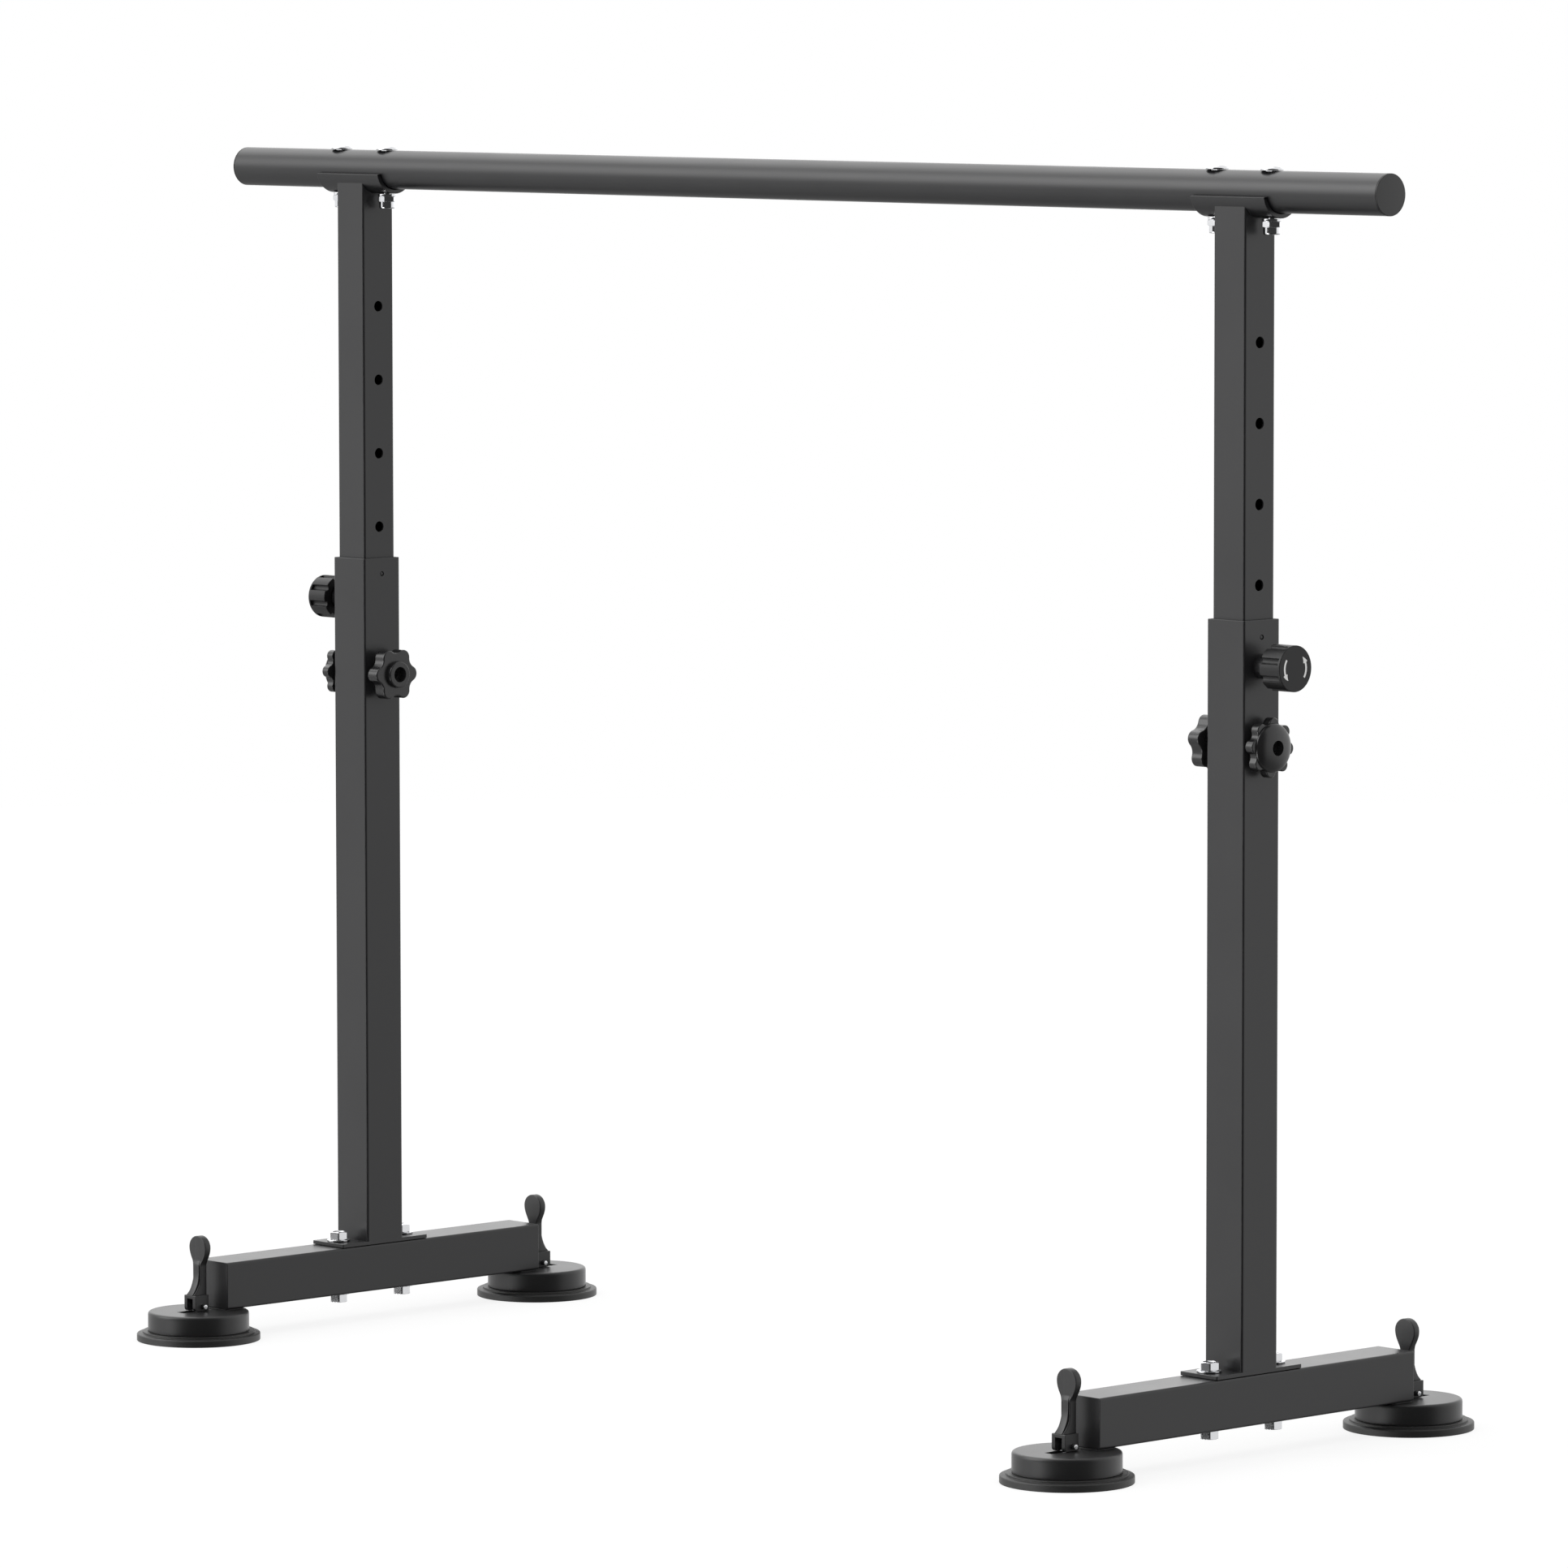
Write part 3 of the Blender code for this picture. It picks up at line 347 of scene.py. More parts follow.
def cut_out(mesh, cutters):
    """Takes closed cutters out of a closed mesh."""
    body = bpy.data.objects.new("blank", mesh)
    tools = [bpy.data.objects.new("cutter", cutter) for cutter in cutters]
    for item in [body] + tools:
        bpy.context.scene.collection.objects.link(item)
    for tool in tools:
        step = body.modifiers.new("cut", "BOOLEAN")
        step.operation = "DIFFERENCE"
        step.solver = "EXACT"
        step.object = tool
    bpy.context.view_layer.update()
    graph = bpy.context.evaluated_depsgraph_get()
    result = bpy.data.meshes.new_from_object(body.evaluated_get(graph))
    for item in [body] + tools:
        bpy.data.objects.remove(item)
    return result


def drill(radius, depth, face, flare=0.00025, sides=48):
    """Cutter for a round hole along Z through walls at -face and face, with a small chamfer at each face."""
    wide = radius + 4 * flare
    profile = [(0, depth), (wide, depth), (wide, face + 3 * flare)]
    profile += [(radius + flare, face), (radius, face - flare)]
    mirrored = [(r, -h) for r, h in reversed(profile)]
    return turned(profile + mirrored, sides)


def screw(radius, pitch, low, high, tip=0.0008, sides=24, rows_a_turn=6):
    """Threaded rod along Z.

    The radius falls below its full size by the depth of the thread times |2 frac(h / pitch - a / 2 pi) - 1|,
    and by a 45 degree cone at the top end.
    """
    height = np.linspace(low, high, int((high - low) / pitch * rows_a_turn))[:, None]
    angle = all_round(sides)
    wave = np.abs(2 * np.mod(height / pitch - angle / (2 * np.pi), 1) - 1)
    reach = np.minimum(radius - THREAD_DEPTH * pitch * wave, radius - tip + (high - height))
    return shell(around(reach, angle, height))


def hexagon(low, high, bore):
    """Hexagon nut or head; a bore of 0 leaves a solid head.

    The radius is the least of flats / 2 / cos(angle to the middle of the nearest flat) and, from each end, a
    30 degree cone that starts a little inside the flats.
    """
    flat, slope, start = HEX_FLATS / 2, math.tan(HEX_CHAMFER), 0.985
    angle = all_round(SIDES)
    across = flat / np.cos(np.mod(angle, np.pi / 3) - np.pi / 6)
    bands = (HEX_FLATS / math.sqrt(3) - flat) * slope * np.linspace(0, 1, 7)
    height = np.concatenate((low + bands, high - bands[::-1]))[:, None]
    cone = flat * start + np.minimum(high - height, height - low) / slope
    points = around(np.minimum(across, cone), angle, height)

    def circle(radius, level):
        return around(radius, angle, np.full((1, 1), level))

    if not bore:
        return shell(np.concatenate((circle(0, low), points, circle(0, high))))
    mouth = bore + NUT_MOUTH
    below = (circle(bore, low + NUT_MOUTH), circle(mouth, low))
    above = (circle(mouth, high), circle(bore, high - NUT_MOUTH))
    return shell(np.concatenate((*below, points, *above)), round_rows=True)


def lobes(count, radius, valley, round_off, steps):
    """Outline of a hand knob, counter-clockwise.

    Each lobe is an arc about a centre on the lobe's own ray, and each hollow an arc that touches its two
    neighbours, which gives the radius of the hollow.
    """
    half_pitch = math.pi / count
    tip = radius - round_off
    reach = tip * math.cos(half_pitch)
    hollow = (tip**2 + valley**2 - 2 * valley * reach - round_off**2) / (2 * (round_off - valley + reach))
    middle = np.array((math.cos(half_pitch), math.sin(half_pitch))) * (valley + hollow)
    lean = math.degrees(math.atan2(middle[1], middle[0] - tip))
    swing = lean - math.degrees(half_pitch)
    facing = 180 + math.degrees(half_pitch)
    lobe = round_arc(round_off, -lean, lean, steps, (tip, 0))
    dip = round_arc(hollow, facing + swing, facing - swing, steps, middle)[1:-1]
    one = np.concatenate((lobe, dip))
    turn = 2 * half_pitch * np.arange(count)[:, None]
    x = one[None, :, 0] * np.cos(turn) - one[None, :, 1] * np.sin(turn)
    y = one[None, :, 0] * np.sin(turn) + one[None, :, 1] * np.cos(turn)
    return np.stack((x.ravel(), y.ravel()), axis=1)


def knob_skin(outline, inner, sides, outer):
    """Knob whose rows run from its bore over the back, the lobed edge and the front, back into the bore.

    inner and outer are (radius, height) rows of circles, and sides are (inset, height) rows of the outline.
    The circles take their angles from the last row of the sides, so that all rows match.
    """
    normals = normals_of(outline)
    rim = outline - sides[-1][0] * normals
    ray = rim / np.linalg.norm(rim, axis=1, keepdims=True)
    rings = [(ray * radius, height) for radius, height in inner]
    rings += [(outline - inset * normals, height) for inset, height in sides]
    rings += [(ray * radius, height) for radius, height in outer]
    return stacked(rings, round_rows=True)


def handrail():
    """Round tube along X: a wall profile turned about the axis, drilled for the carriage bolts."""
    half, inside, steps, beside = RAIL_LENGTH / 2, RAIL_RADIUS - WALL, 3, 0.0075
    bolt_at = [side * POST_SPACING / 2 + end * CARRIAGE_SPACING / 2 for side in (-1, 1) for end in (-1, 1)]
    holds = sorted(place + step for place in bolt_at for step in (-beside, beside))
    corners = [(inside, half), (inside, -half), (RAIL_RADIUS, -half), (RAIL_RADIUS, half)]
    rounded = eased(corners, TUBE_END, closed=True, steps=steps)
    before_last = 3 * (steps + 3)
    outside = [(RAIL_RADIUS, height) for height in holds]
    profile = np.concatenate((rounded[:before_last], outside, rounded[before_last:]))
    tube = moved(turned(profile, 128, round_rows=True), TO_X)
    neck = slab(square(CARRIAGE_NECK + 2 * GAP, 0.0004), 0.005, CUT / 2, 0.0002)
    shank = rod(STUD_HOLE, -CUT / 2, 0.0)
    return cut_out(tube, [moved(tool, shift(x=place)) for place in bolt_at for tool in (neck, shank)])


def rail_cap():
    """Moulded end cap: a thin crowned disc on a hollow plug, +Z outwards."""
    plug, floor, tip = RAIL_RADIUS - WALL - GAP, -0.002, -0.018
    crown = [(0, 0.0018), (0.008, 0.00175), (0.014, 0.0016)]
    corners = [(0.016, 0.00152), (RAIL_RADIUS, 0.00145), (RAIL_RADIUS, GAP), (plug + 0.0005, GAP)]
    edge = eased(corners, (0, 0.0005, 0.0002, 0), steps=4)
    inside = [(plug, GAP), (plug, tip + 0.001), (plug - 0.001, tip), (plug - 0.002, tip)]
    return turned(crown + edge.tolist() + inside + [(plug - 0.002, floor), (0, floor)])


def saddle():
    """Half pipe along X under the rail, drilled for the bolts.

    Its section is an arc out and a smaller arc back, joined at both lips by a flat half ellipse.
    """
    tip = 0.0003
    a = SADDLE_HALF_ANGLE - tip / SADDLE_OUTSIDE
    t, turn = np.linspace(-a, a, 65), np.linspace(0, np.pi, 15)[1:-1]
    middle, half_wall = (SADDLE_OUTSIDE + SADDLE_INSIDE) / 2, (SADDLE_OUTSIDE - SADDLE_INSIDE) / 2
    step, lip = half_wall * np.cos(turn), a + tip / middle * np.sin(turn)
    outside, inside = np.full(len(t), SADDLE_OUTSIDE), np.full(len(t), SADDLE_INSIDE)
    radius = np.concatenate((outside, middle + step, inside, middle - step))
    angle = np.concatenate((t, lip, -t, -lip))
    outline = np.stack((radius * np.sin(angle), -radius * np.cos(angle)), axis=1)
    body = slab(outline, -SADDLE_LENGTH / 2, SADDLE_LENGTH / 2, 0.0004)
    shank = rod(STUD_HOLE, -CUT / 2, 0.0)
    holes = [moved(shank, shift(x=end * CARRIAGE_SPACING / 2)) for end in (-1, 1)]
    return cut_out(moved(body, TO_X), holes)


def inner_post():
    """Drilled square tube whose top edge follows the middle of the saddle's wall, z = -sqrt(r^2 - y^2).

    The faces inside the tube take the second material, a near-black painted shade that makes the tube's holes
    look dark.
    """
    outer, end, inner = tube_outlines(INNER_TUBE)
    low, middle = -POST_DROP, (SADDLE_INSIDE + SADDLE_OUTSIDE) / 2
    top_outer, top_inner = (-np.sqrt(middle**2 - outline[:, 1] ** 2) for outline in (outer, inner))
    rings = [(end, low), (outer, low + TUBE_END), (outer, POST_STRAIGHT), (outer, top_outer)]
    rings += [(inner, top_inner), (inner, POST_STRAIGHT), (inner, low + TUBE_END / 2)]
    tool = moved(drill(HOLE_RADIUS, 0.04, INNER_TUBE / 2), TO_X)
    holes = [moved(tool, shift(z=-FIRST_HOLE_DROP - HOLE_PITCH * hole)) for hole in range(HOLE_COUNT)]
    tube = cut_out(stacked(rings, round_rows=True), holes)
    # faces inside the tube get the painted shade of the second material
    centre = np.empty(3 * len(tube.polygons))
    tube.polygons.foreach_get("center", centre)
    painted_shade_faces = np.abs(centre.reshape(-1, 3)[:, :2]).max(axis=1) < INNER_TUBE / 2 - WALL + GAP
    tube.polygons.foreach_set("material_index", painted_shade_faces.astype(int))
    return together(tube, saddle())


def carriage_bolt():
    """Domed bolt head on the rail, its square neck and its shank, from the axis of the rail."""
    seat, radius, rise, rim, tip = RAIL_RADIUS + GAP, 0.0107, 0.0045, 0.0007, 0.0006
    t = np.linspace(0, np.pi / 2, 17)
    dome = np.stack((radius * np.sin(t), seat + rim + (rise - rim) * np.cos(t) ** 1.15), axis=1)
    edge = [(radius, seat + 0.0004), (radius - 0.0003, seat), (STUD_RADIUS, seat)]
    end = -(SADDLE_OUTSIDE + LOCK_WASHER + LOCK_HEXAGON + LOCK_COLLAR)
    shank = [(STUD_RADIUS, end + tip), (STUD_RADIUS - tip, end), (0, end)]
    neck = slab(square(CARRIAGE_NECK, 0.0004), RAIL_RADIUS - 0.003, seat + GAP, 0.0001)
    return together(turned(np.concatenate((dome, edge, shank))), neck)


def lock_nut():
    """Washer, hexagon and round locking collar, hanging under the saddle, from the axis of the rail."""
    top = -(SADDLE_OUTSIDE + GAP)
    seat = top - LOCK_WASHER
    shoulder = seat - LOCK_HEXAGON
    start, end = shoulder + 0.0004, shoulder - LOCK_COLLAR
    collar = ring(STUD_HOLE, 0.00775, start, end, (0.0001, 0.0002, 0.0014, 0.0004), steps=5)
    plate = ring(STUD_HOLE, 0.009, seat, top, WASHER_EDGE)
    return together(plate, hexagon(shoulder, seat, STUD_HOLE), collar)


def outer_post():
    """Square tube welded on its foot plate, with the collar of the pull pin and a boss for each clamp."""
    outer, end, inner = tube_outlines(OUTER_TUBE)
    low, root = PLATE_TOP - WELD, POST_FACE - WELD
    rings = [(end, low), (outer, low + TUBE_END), (outer, POST_TOP - TUBE_END), (end, POST_TOP)]
    rings += [(inner, POST_TOP - TUBE_END / 2), (inner, low + TUBE_END / 2)]
    drills = [moved(drill(STUD_HOLE, CUT, POST_FACE), shift(z=CLAMP_HEIGHT), TO_X)]
    drills.append(moved(drill(0.0023, CUT, POST_FACE, 0.0001, 32), shift(z=SNAP_HEIGHT), TO_X))
    drills.append(moved(rod(HOLE_RADIUS, 0, CUT), shift(z=PULL_HEIGHT), TO_X))
    tube = cut_out(stacked(rings, round_rows=True), drills)
    outline = rectangle(-POST_FACE, POST_FACE, -PLATE_LENGTH / 2, PLATE_LENGTH / 2, 0.0012)
    plate = slab(outline, PLATE_BOTTOM, PLATE_TOP, 0.0004)
    collar = ring(HOLE_RADIUS, 0.0110, root, POST_FACE + 0.0175, (0.0001, 0.0001, 0.0008, 0.0004), sides=64)
    boss = ring(STUD_HOLE, 0.0075, root, POST_FACE + 0.0046, (0.0001, 0.0001, 0.0006, 0.0003), sides=64)
    bosses = [moved(boss, spun(turn, "Z"), shift(z=CLAMP_HEIGHT), TO_X) for turn in (0, 180)]
    return together(tube, plate, moved(collar, shift(z=PULL_HEIGHT), TO_X), *bosses)


def guide_sleeve():
    """Plastic lining in the mouth of the outer post, with a snap button in each side."""
    top, low, lip, mouth = POST_TOP - 0.0005, POST_TOP - 0.0605, 0.0003, 0.0006
    outer = square(OUTER_TUBE - 2 * WALL - 2 * GAP, 0.0012)
    inner = square(INNER_TUBE + 2 * GAP, 0.0019)
    rings = [(outer, low), (outer, top - lip), (outer - lip * normals_of(outer), top)]
    rings += [(inner + mouth * normals_of(inner), top), (inner, top - mouth), (inner, low)]
    bore = moved(rod(0.0052, 0, 0.05), shift(z=PULL_HEIGHT), TO_X)
    radius, root, face, rise = 0.0020, 0.0203, POST_FACE - GAP, 0.0006
    t = np.linspace(0, np.pi / 2, 9)
    crown = np.stack((radius * np.sin(t), face - rise * (1 - np.cos(t))), axis=1)
    button = turned(np.concatenate((crown, [(radius, root), (0, root)])), 32)
    buttons = [moved(button, shift(z=SNAP_HEIGHT), spun(turn, "Z"), TO_X) for turn in (0, 180)]
    return together(cut_out(stacked(rings, round_rows=True), [bore]), *buttons)


def base_tube():
    """Square tube along Y with flat closed ends, and the studs that hold the feet."""
    body = slab(square(OUTER_TUBE, TUBE_CORNER), -BASE_LENGTH / 2, BASE_LENGTH / 2, 0.0006)
    low, high, tip = 0.0168, 0.0295, 0.0006
    corners = [(0, low), (STUD_RADIUS - tip, low), (STUD_RADIUS, low + tip), (STUD_RADIUS, high), (0, high)]
    stud, stud_at = turned(corners, 32), FOOT_SPACING / 2 - FOOT_STUD_OFFSET
    studs = [moved(stud, shift(y=side * stud_at)) for side in (-1, 1)]
    return together(moved(body, shift(z=(BASE_BOTTOM + BASE_TOP) / 2), TO_Y), *studs)


def base_bolt():
    """Hexagon bolt with its washer, put up through base tube and foot plate."""
    seat = BASE_BOTTOM - GAP
    low = seat - BOLT_WASHER
    end = PLATE_TOP + GAP + NUT_WASHER + NUT_HEIGHT - 0.0006
    plate = ring(BOLT_RADIUS - 0.0001, WASHER_RADIUS, low, seat, WASHER_EDGE)
    head = hexagon(low - BOLT_HEAD, low, 0)
    return together(plate, head, screw(BOLT_RADIUS, BOLT_PITCH, low - 0.001, end))


def base_nut():
    """Hexagon nut with its washer, on the foot plate."""
    seat, bore = PLATE_TOP + GAP, BOLT_RADIUS + GAP
    top = seat + NUT_WASHER
    return together(ring(bore, WASHER_RADIUS, seat, top, WASHER_EDGE), hexagon(top, top + NUT_HEIGHT, bore))


def pull_pin():
    """Locking pin, +Z outwards from the middle of the post, drawn clear of the inner post."""
    tip, end, taper = INNER_TUBE / 2 + GAP, POST_FACE + PULL_FACE - 0.0025, 0.0015
    corners = [(0, tip), (PIN_RADIUS - taper, tip), (PIN_RADIUS, tip + taper), (PIN_RADIUS, end), (0, end)]
    return turned(eased(corners, (0, 0.0003, 0.0003, 0.0001, 0), steps=4), 48)


def pull_knob():
    """Fluted knob, hollow behind, +Z outwards.

    Columns follow the flutes: arcs of a small circle cut into the rim. A row's radius is its own less the
    depth of the flutes at that column where the flutes run, so they end blind before the face.
    """
    away = PULL_RADIUS - FLUTE_DEPTH + FLUTE_RADIUS
    meet = math.acos((PULL_RADIUS**2 + away**2 - FLUTE_RADIUS**2) / (2 * PULL_RADIUS * away))
    opening = math.degrees(math.acos((away - PULL_RADIUS * math.cos(meet)) / FLUTE_RADIUS)) - 4
    arc = round_arc(FLUTE_RADIUS, 180 + opening, 180 - opening, 14, (away, 0))
    clear = math.degrees(meet) + 0.5
    one = np.concatenate((arc, round_arc(PULL_RADIUS, clear, 360 / FLUTES - clear, 8)))
    turn = 2 * np.pi / FLUTES * np.arange(FLUTES)[:, None]
    radius = np.tile(np.hypot(one[:, 0], one[:, 1]), FLUTES)
    angle = (np.arctan2(one[:, 1], one[:, 0])[None, :] + turn).ravel()
    back, face = POST_FACE + PULL_BACK, POST_FACE + PULL_FACE
    floor, blind, bore, rim = face - 0.004, face - PULL_RIM, 0.0119, 0.0175
    inner = eased([(0, floor), (bore, floor), (bore, back), (rim, back)], (0, 0.0003, 0.0004, 0), steps=3)
    outer = eased([(rim, back), (PULL_RADIUS, back), (PULL_RADIUS, blind)], (0, 0.0008, 0), steps=5)
    corners = [(PULL_RADIUS, blind), (PULL_RADIUS, face), (0.0185, face), (0, face)]
    front = eased(corners, (0, 0.0007, 0, 0), steps=5)
    rows = np.concatenate((inner, outer, front))
    fluted = np.repeat((0, 1, 0), (len(inner), len(outer), len(front)))[:, None]
    least = np.minimum(rows[:, :1], rim + 0.0001)
    reach = np.maximum(rows[:, :1] - fluted * (PULL_RADIUS - radius), least)
    return shell(around(reach, angle, rows[:, 1:]))


def clamp_stud(end):
    """Threaded stud, +Z outwards, from the inner post to its end deep in the bore of the knob."""
    return screw(STUD_RADIUS, STUD_PITCH, INNER_TUBE / 2 + GAP, POST_FACE + end)


def flower_knob():
    """Clamp knob with eight round lobes behind a smooth round dome.

    The dome's profile shrinks by a power of cos t and rises by sin t, from its rim to the mouth of the hole.
    """
    back, front, step = POST_FACE + 0.0053, POST_FACE + 0.0138, POST_FACE + 0.0120
    sides = eased([(0.004, back), (0, back), (0, front), (0.003, front)], (0, 0.0008, 0.0010, 0), steps=5)
    bore = [(STUD_HOLE, back + 0.0007), (STUD_HOLE, back + 0.0001), (STUD_HOLE + 0.0002, back)]
    outline = lobes(count=8, radius=0.0264, valley=0.0213, round_off=0.0058, steps=12)
    body = knob_skin(outline, bore, sides, [(0.012, front), (0.012, step), (STUD_HOLE, step)])
    dome_radius, mouth, foot, rise, seat = 0.0216, 0.00675, POST_FACE + 0.0141, 0.0061, step + 0.0004
    t = np.linspace(0, math.radians(71), 25)
    swell = np.cos(t) ** 0.92
    swell = (swell - swell[-1]) / (1 - swell[-1])
    height = foot + rise * np.sin(t) / math.sin(t[-1])
    dome = np.stack((mouth + (dome_radius - mouth) * swell, height), axis=1)
    corners = [(mouth, foot + rise), (0.0066, seat), (STUD_HOLE, seat), (STUD_HOLE, step + 0.0001)]
    hole = eased(corners, (0, 0.0003, 0.0001, 0), steps=3)
    under = [(0.015, step + 0.0001), (0.0208, step + 0.0010), (dome_radius - 0.0002, foot - 0.0005)]
    return together(body, turned(np.concatenate((dome, hole[1:], under)), 128, round_rows=True))


def star_knob():
    """Clamp knob with six drawn-out lobes, a raised ring in front and a short hub behind."""
    foot, back, front = POST_FACE + 0.0049, POST_FACE + 0.0079, POST_FACE + 0.0212
    top, well = POST_FACE + 0.0260, POST_FACE + 0.0180
    corners = [(STUD_HOLE, foot + 0.0006), (STUD_HOLE, foot), (0.010, foot), (0.010, back)]
    hub = eased(corners, (0, 0.0003, 0.0005, 0), steps=3)
    sides = eased([(0.004, back), (0, back), (0, front), (0.003, front)], (0, 0.0012, 0.0014, 0), steps=6)
    corners = [(0.013, front), (0.0125, top), (0.00725, top), (0.0071, well), (STUD_HOLE, well)]
    corners += [(STUD_HOLE, foot + 0.0011)]
    face = eased(corners, (0, 0.0010, 0.0006, 0.0003, 0.0002, 0), steps=5)
    outline = lobes(count=6, radius=0.0258, valley=0.0206, round_off=0.0074, steps=12)
    return knob_skin(outline, hub, sides, face)


def suction_cup():
    """Rubber cup: a hollow underside, a flange with a step and a hub under the stem."""
    hub, inside, step, top = 0.014, 0.0535, 0.0088, 0.011
    corners = [(0, top), (hub, top), (hub, step), (inside, step), (inside, 0.0070), (CUP_RADIUS, 0.0066)]
    corners += [(CUP_RADIUS, 0.0), (0.053, 0.0), (0.0265, 0.003), (0, 0.004)]
    cuts = (0, 0.0004, 0.0006, 0.0006, 0.0005, 0.0012, 0.0004, 0.0008, 0.004, 0)
    return turned(eased(corners, cuts, steps=5), 128)


def cup_cover():
    """Hollow cover of a foot, -Y outboard: slot for the lever, seat for the base tube."""
    inside, ceiling, seat_top = COVER_RADIUS - COVER_WALL, COVER_TOP - COVER_WALL, COVER_TOP + 0.0008
    corners = [(0, COVER_TOP), (COVER_RADIUS, COVER_TOP), (COVER_RADIUS, COVER_BOTTOM)]
    corners += [(inside, COVER_BOTTOM), (inside, ceiling), (0, ceiling)]
    bowl = turned(eased(corners, (0, 0.0032, 0.0004, 0.0004, 0.001, 0)), 160)
    slot = rectangle(-SLOT_HALF_WIDTH, SLOT_HALF_WIDTH, -SLOT_OUTBOARD, SLOT_INBOARD, 0.0008)
    flare = [(0.0, 0.02), (0.0, COVER_TOP - 0.0004), (-0.0006, COVER_TOP + 0.0002), (-0.0006, 0.035)]
    bowl = cut_out(bowl, [lofted(slot, flare)])
    levels = eased([(0, ceiling), (0, seat_top), (0.0012, seat_top)], (0, 0.0004, 0), steps=4)
    seat = lofted(rectangle(-0.020, 0.020, 0.0175, 0.0395, 0.0015), levels)
    inner, outer, low, high = STUD_HOLE, 0.007, 0.0171, 0.0256
    boss = turned([(inner, low), (outer, low), (outer, high), (inner, high)], 48, round_rows=True)
    return together(bowl, seat, moved(boss, shift(y=FOOT_STUD_OFFSET)))


def cup_stem():
    """Flat stem with an eye for the lever pin, on a disc over the rubber, from the pin's axis."""
    half_width, radius, low = 0.0042, 0.013, 0.0113 - LEVER_PIN_HEIGHT
    foot = [(-half_width, low + 0.001), (half_width, low + 0.001)]
    outline = np.concatenate((round_arc(half_width, 0, 180, 24), foot))
    blade = moved(slab(outline, -0.0038, 0.0038, 0.0003), TO_X)
    corners = [(0, low), (radius, low), (radius, low + 0.0025), (0, low + 0.0025)]
    disc = turned(eased(corners, (0, 0.0003, 0.0006, 0)))
    eye = moved(rod(EYE_RADIUS, -0.01, 0.01), TO_X)
    return together(cut_out(blade, [eye]), moved(disc, shift(y=LEVER_PIN_OUT)))


def lever_block():
    """Fork of the lever: a side outline with a round cam corner, carried across X, slotted for the stem."""
    front, back = -BLOCK_FRONT, -LEVER_BACK
    corners = [(front, BLOCK_LOW), (back, BLOCK_LOW), (back, BLOCK_TOP), (front, BLOCK_TOP)]
    outline = eased(corners, (0.0036, 0.0008, 0.0008, 0.0008), closed=True)
    block = moved(slab(outline, -BLOCK_HALF_WIDTH, BLOCK_HALF_WIDTH, 0.0004), TO_X)
    slot = moved(slab(rectangle(-0.02, 0.0046, -0.02, 0.0079, 0.0006), -0.0042, 0.0042, 0.0001), TO_X)
    eye = moved(rod(EYE_RADIUS, -0.02, 0.02), TO_X)
    return cut_out(block, [slot, eye])


def lever_neck():
    """Neck and head of the lever as one grid, upright, from its pin, -Y outboard.

    A row follows the front outline upwards: half width w and height h with the outline's normal. A column
    goes round the section; points near the rim are set in along that normal, so that the rim stays round
    right over the crown. In front, the middle columns stand forward as a rib and two more sink as grooves,
    each by its own power curve of the height.
    """
    neck, head, neck_end, wide_at, crown = 0.0056, 0.0120, 0.039, 0.0564, 0.0110
    flat_front, rib_crown, groove_depth, groove_top, edge = 0.0002, 0.00005, 0.003, 0.0385, 0.0008
    start = BLOCK_TOP + 0.0002
    along = np.linspace(0, 1, 30)[1:]
    swell = (1 - np.cos(np.pi * along**0.75)) / 2
    buried = (0.0084, 0.0108)
    straight = start + (neck_end - start) * np.linspace(0, 1, 26) ** 1.2
    turn = np.linspace(0, np.pi / 2, 25)[1:]
    widening, crowning = neck_end + (wide_at - neck_end) * along, wide_at + crown * np.sin(turn)
    height = np.concatenate((buried, straight, widening, crowning))
    half = np.concatenate((np.full(28, neck), neck + (head - neck) * swell, head * np.cos(turn)))
    step_w, step_h = np.gradient(half), np.gradient(height)
    length = np.hypot(step_w, step_h)
    out_x, out_z = step_h / length, -step_w / length
    out_x[-1], out_z[-1] = 0.0, 1.0
    shy = np.where(height < BLOCK_TOP, 0.0004, 0.0)
    blend = np.clip((height - neck_end) / 0.005, 0, 1)
    blend = blend * blend * (3 - 2 * blend)

    def fall(power, face, top):
        share = np.clip((height - BLOCK_TOP) / (top - BLOCK_TOP), 0, 1)
        front = face + (BLOCK_FRONT - face) * (1 - share) ** power
        return front * (1 - blend) + flat_front * blend

    plate_face = 0.0011
    plate_front, rib_front = fall(2.0, plate_face, 0.026), fall(2.2, 0.0016, 0.034)
    groove_ends = np.clip((groove_top - height) / 0.0015, 0, 1)
    groove_front = plate_front - groove_ends * (plate_front - (plate_face - groove_depth))
    plate_front, rib_front = plate_front - shy, rib_front - shy
    quarter = np.linspace(0, np.pi / 2, 6)
    inset = edge * (1 - np.cos(quarter))
    dip = edge * (1 - np.sin(quarter))
    columns = []

    def rim(insets, depths, side):
        for i, y in zip(insets, depths):
            columns.append((side * np.maximum(half - i * out_x, 0), y, height - i * out_z))

    def face_point(place, front):
        reach = np.maximum(half - edge * out_x, 0)
        x = np.sign(place) * np.minimum(abs(place), reach * abs(place) / (neck - edge))
        columns.append((x, front, height - edge * out_z))

    back_depths = [np.full(len(height), LEVER_BACK) + d for d in dip]
    front_depths = [plate_front - d for d in dip]
    faces = [(0.0047, plate_front), (0.00465, groove_front), (0.00385, groove_front), (0.0038, rib_front)]
    faces += [(0.0036, rib_front + rib_crown), (0.0, rib_front + rib_crown)]
    rim(inset[::-1], back_depths[::-1], 1)
    rim(inset, front_depths, 1)
    for place, front in faces:
        face_point(place, front)
    for place, front in reversed(faces[:-1]):
        face_point(-place, front)
    rim(inset[::-1], front_depths[::-1], -1)
    rim(inset, back_depths, -1)
    return shell(np.stack([np.stack((x, -y, z), axis=1) for x, y, z in columns], axis=1))


def lever():
    return together(lever_block(), lever_neck())


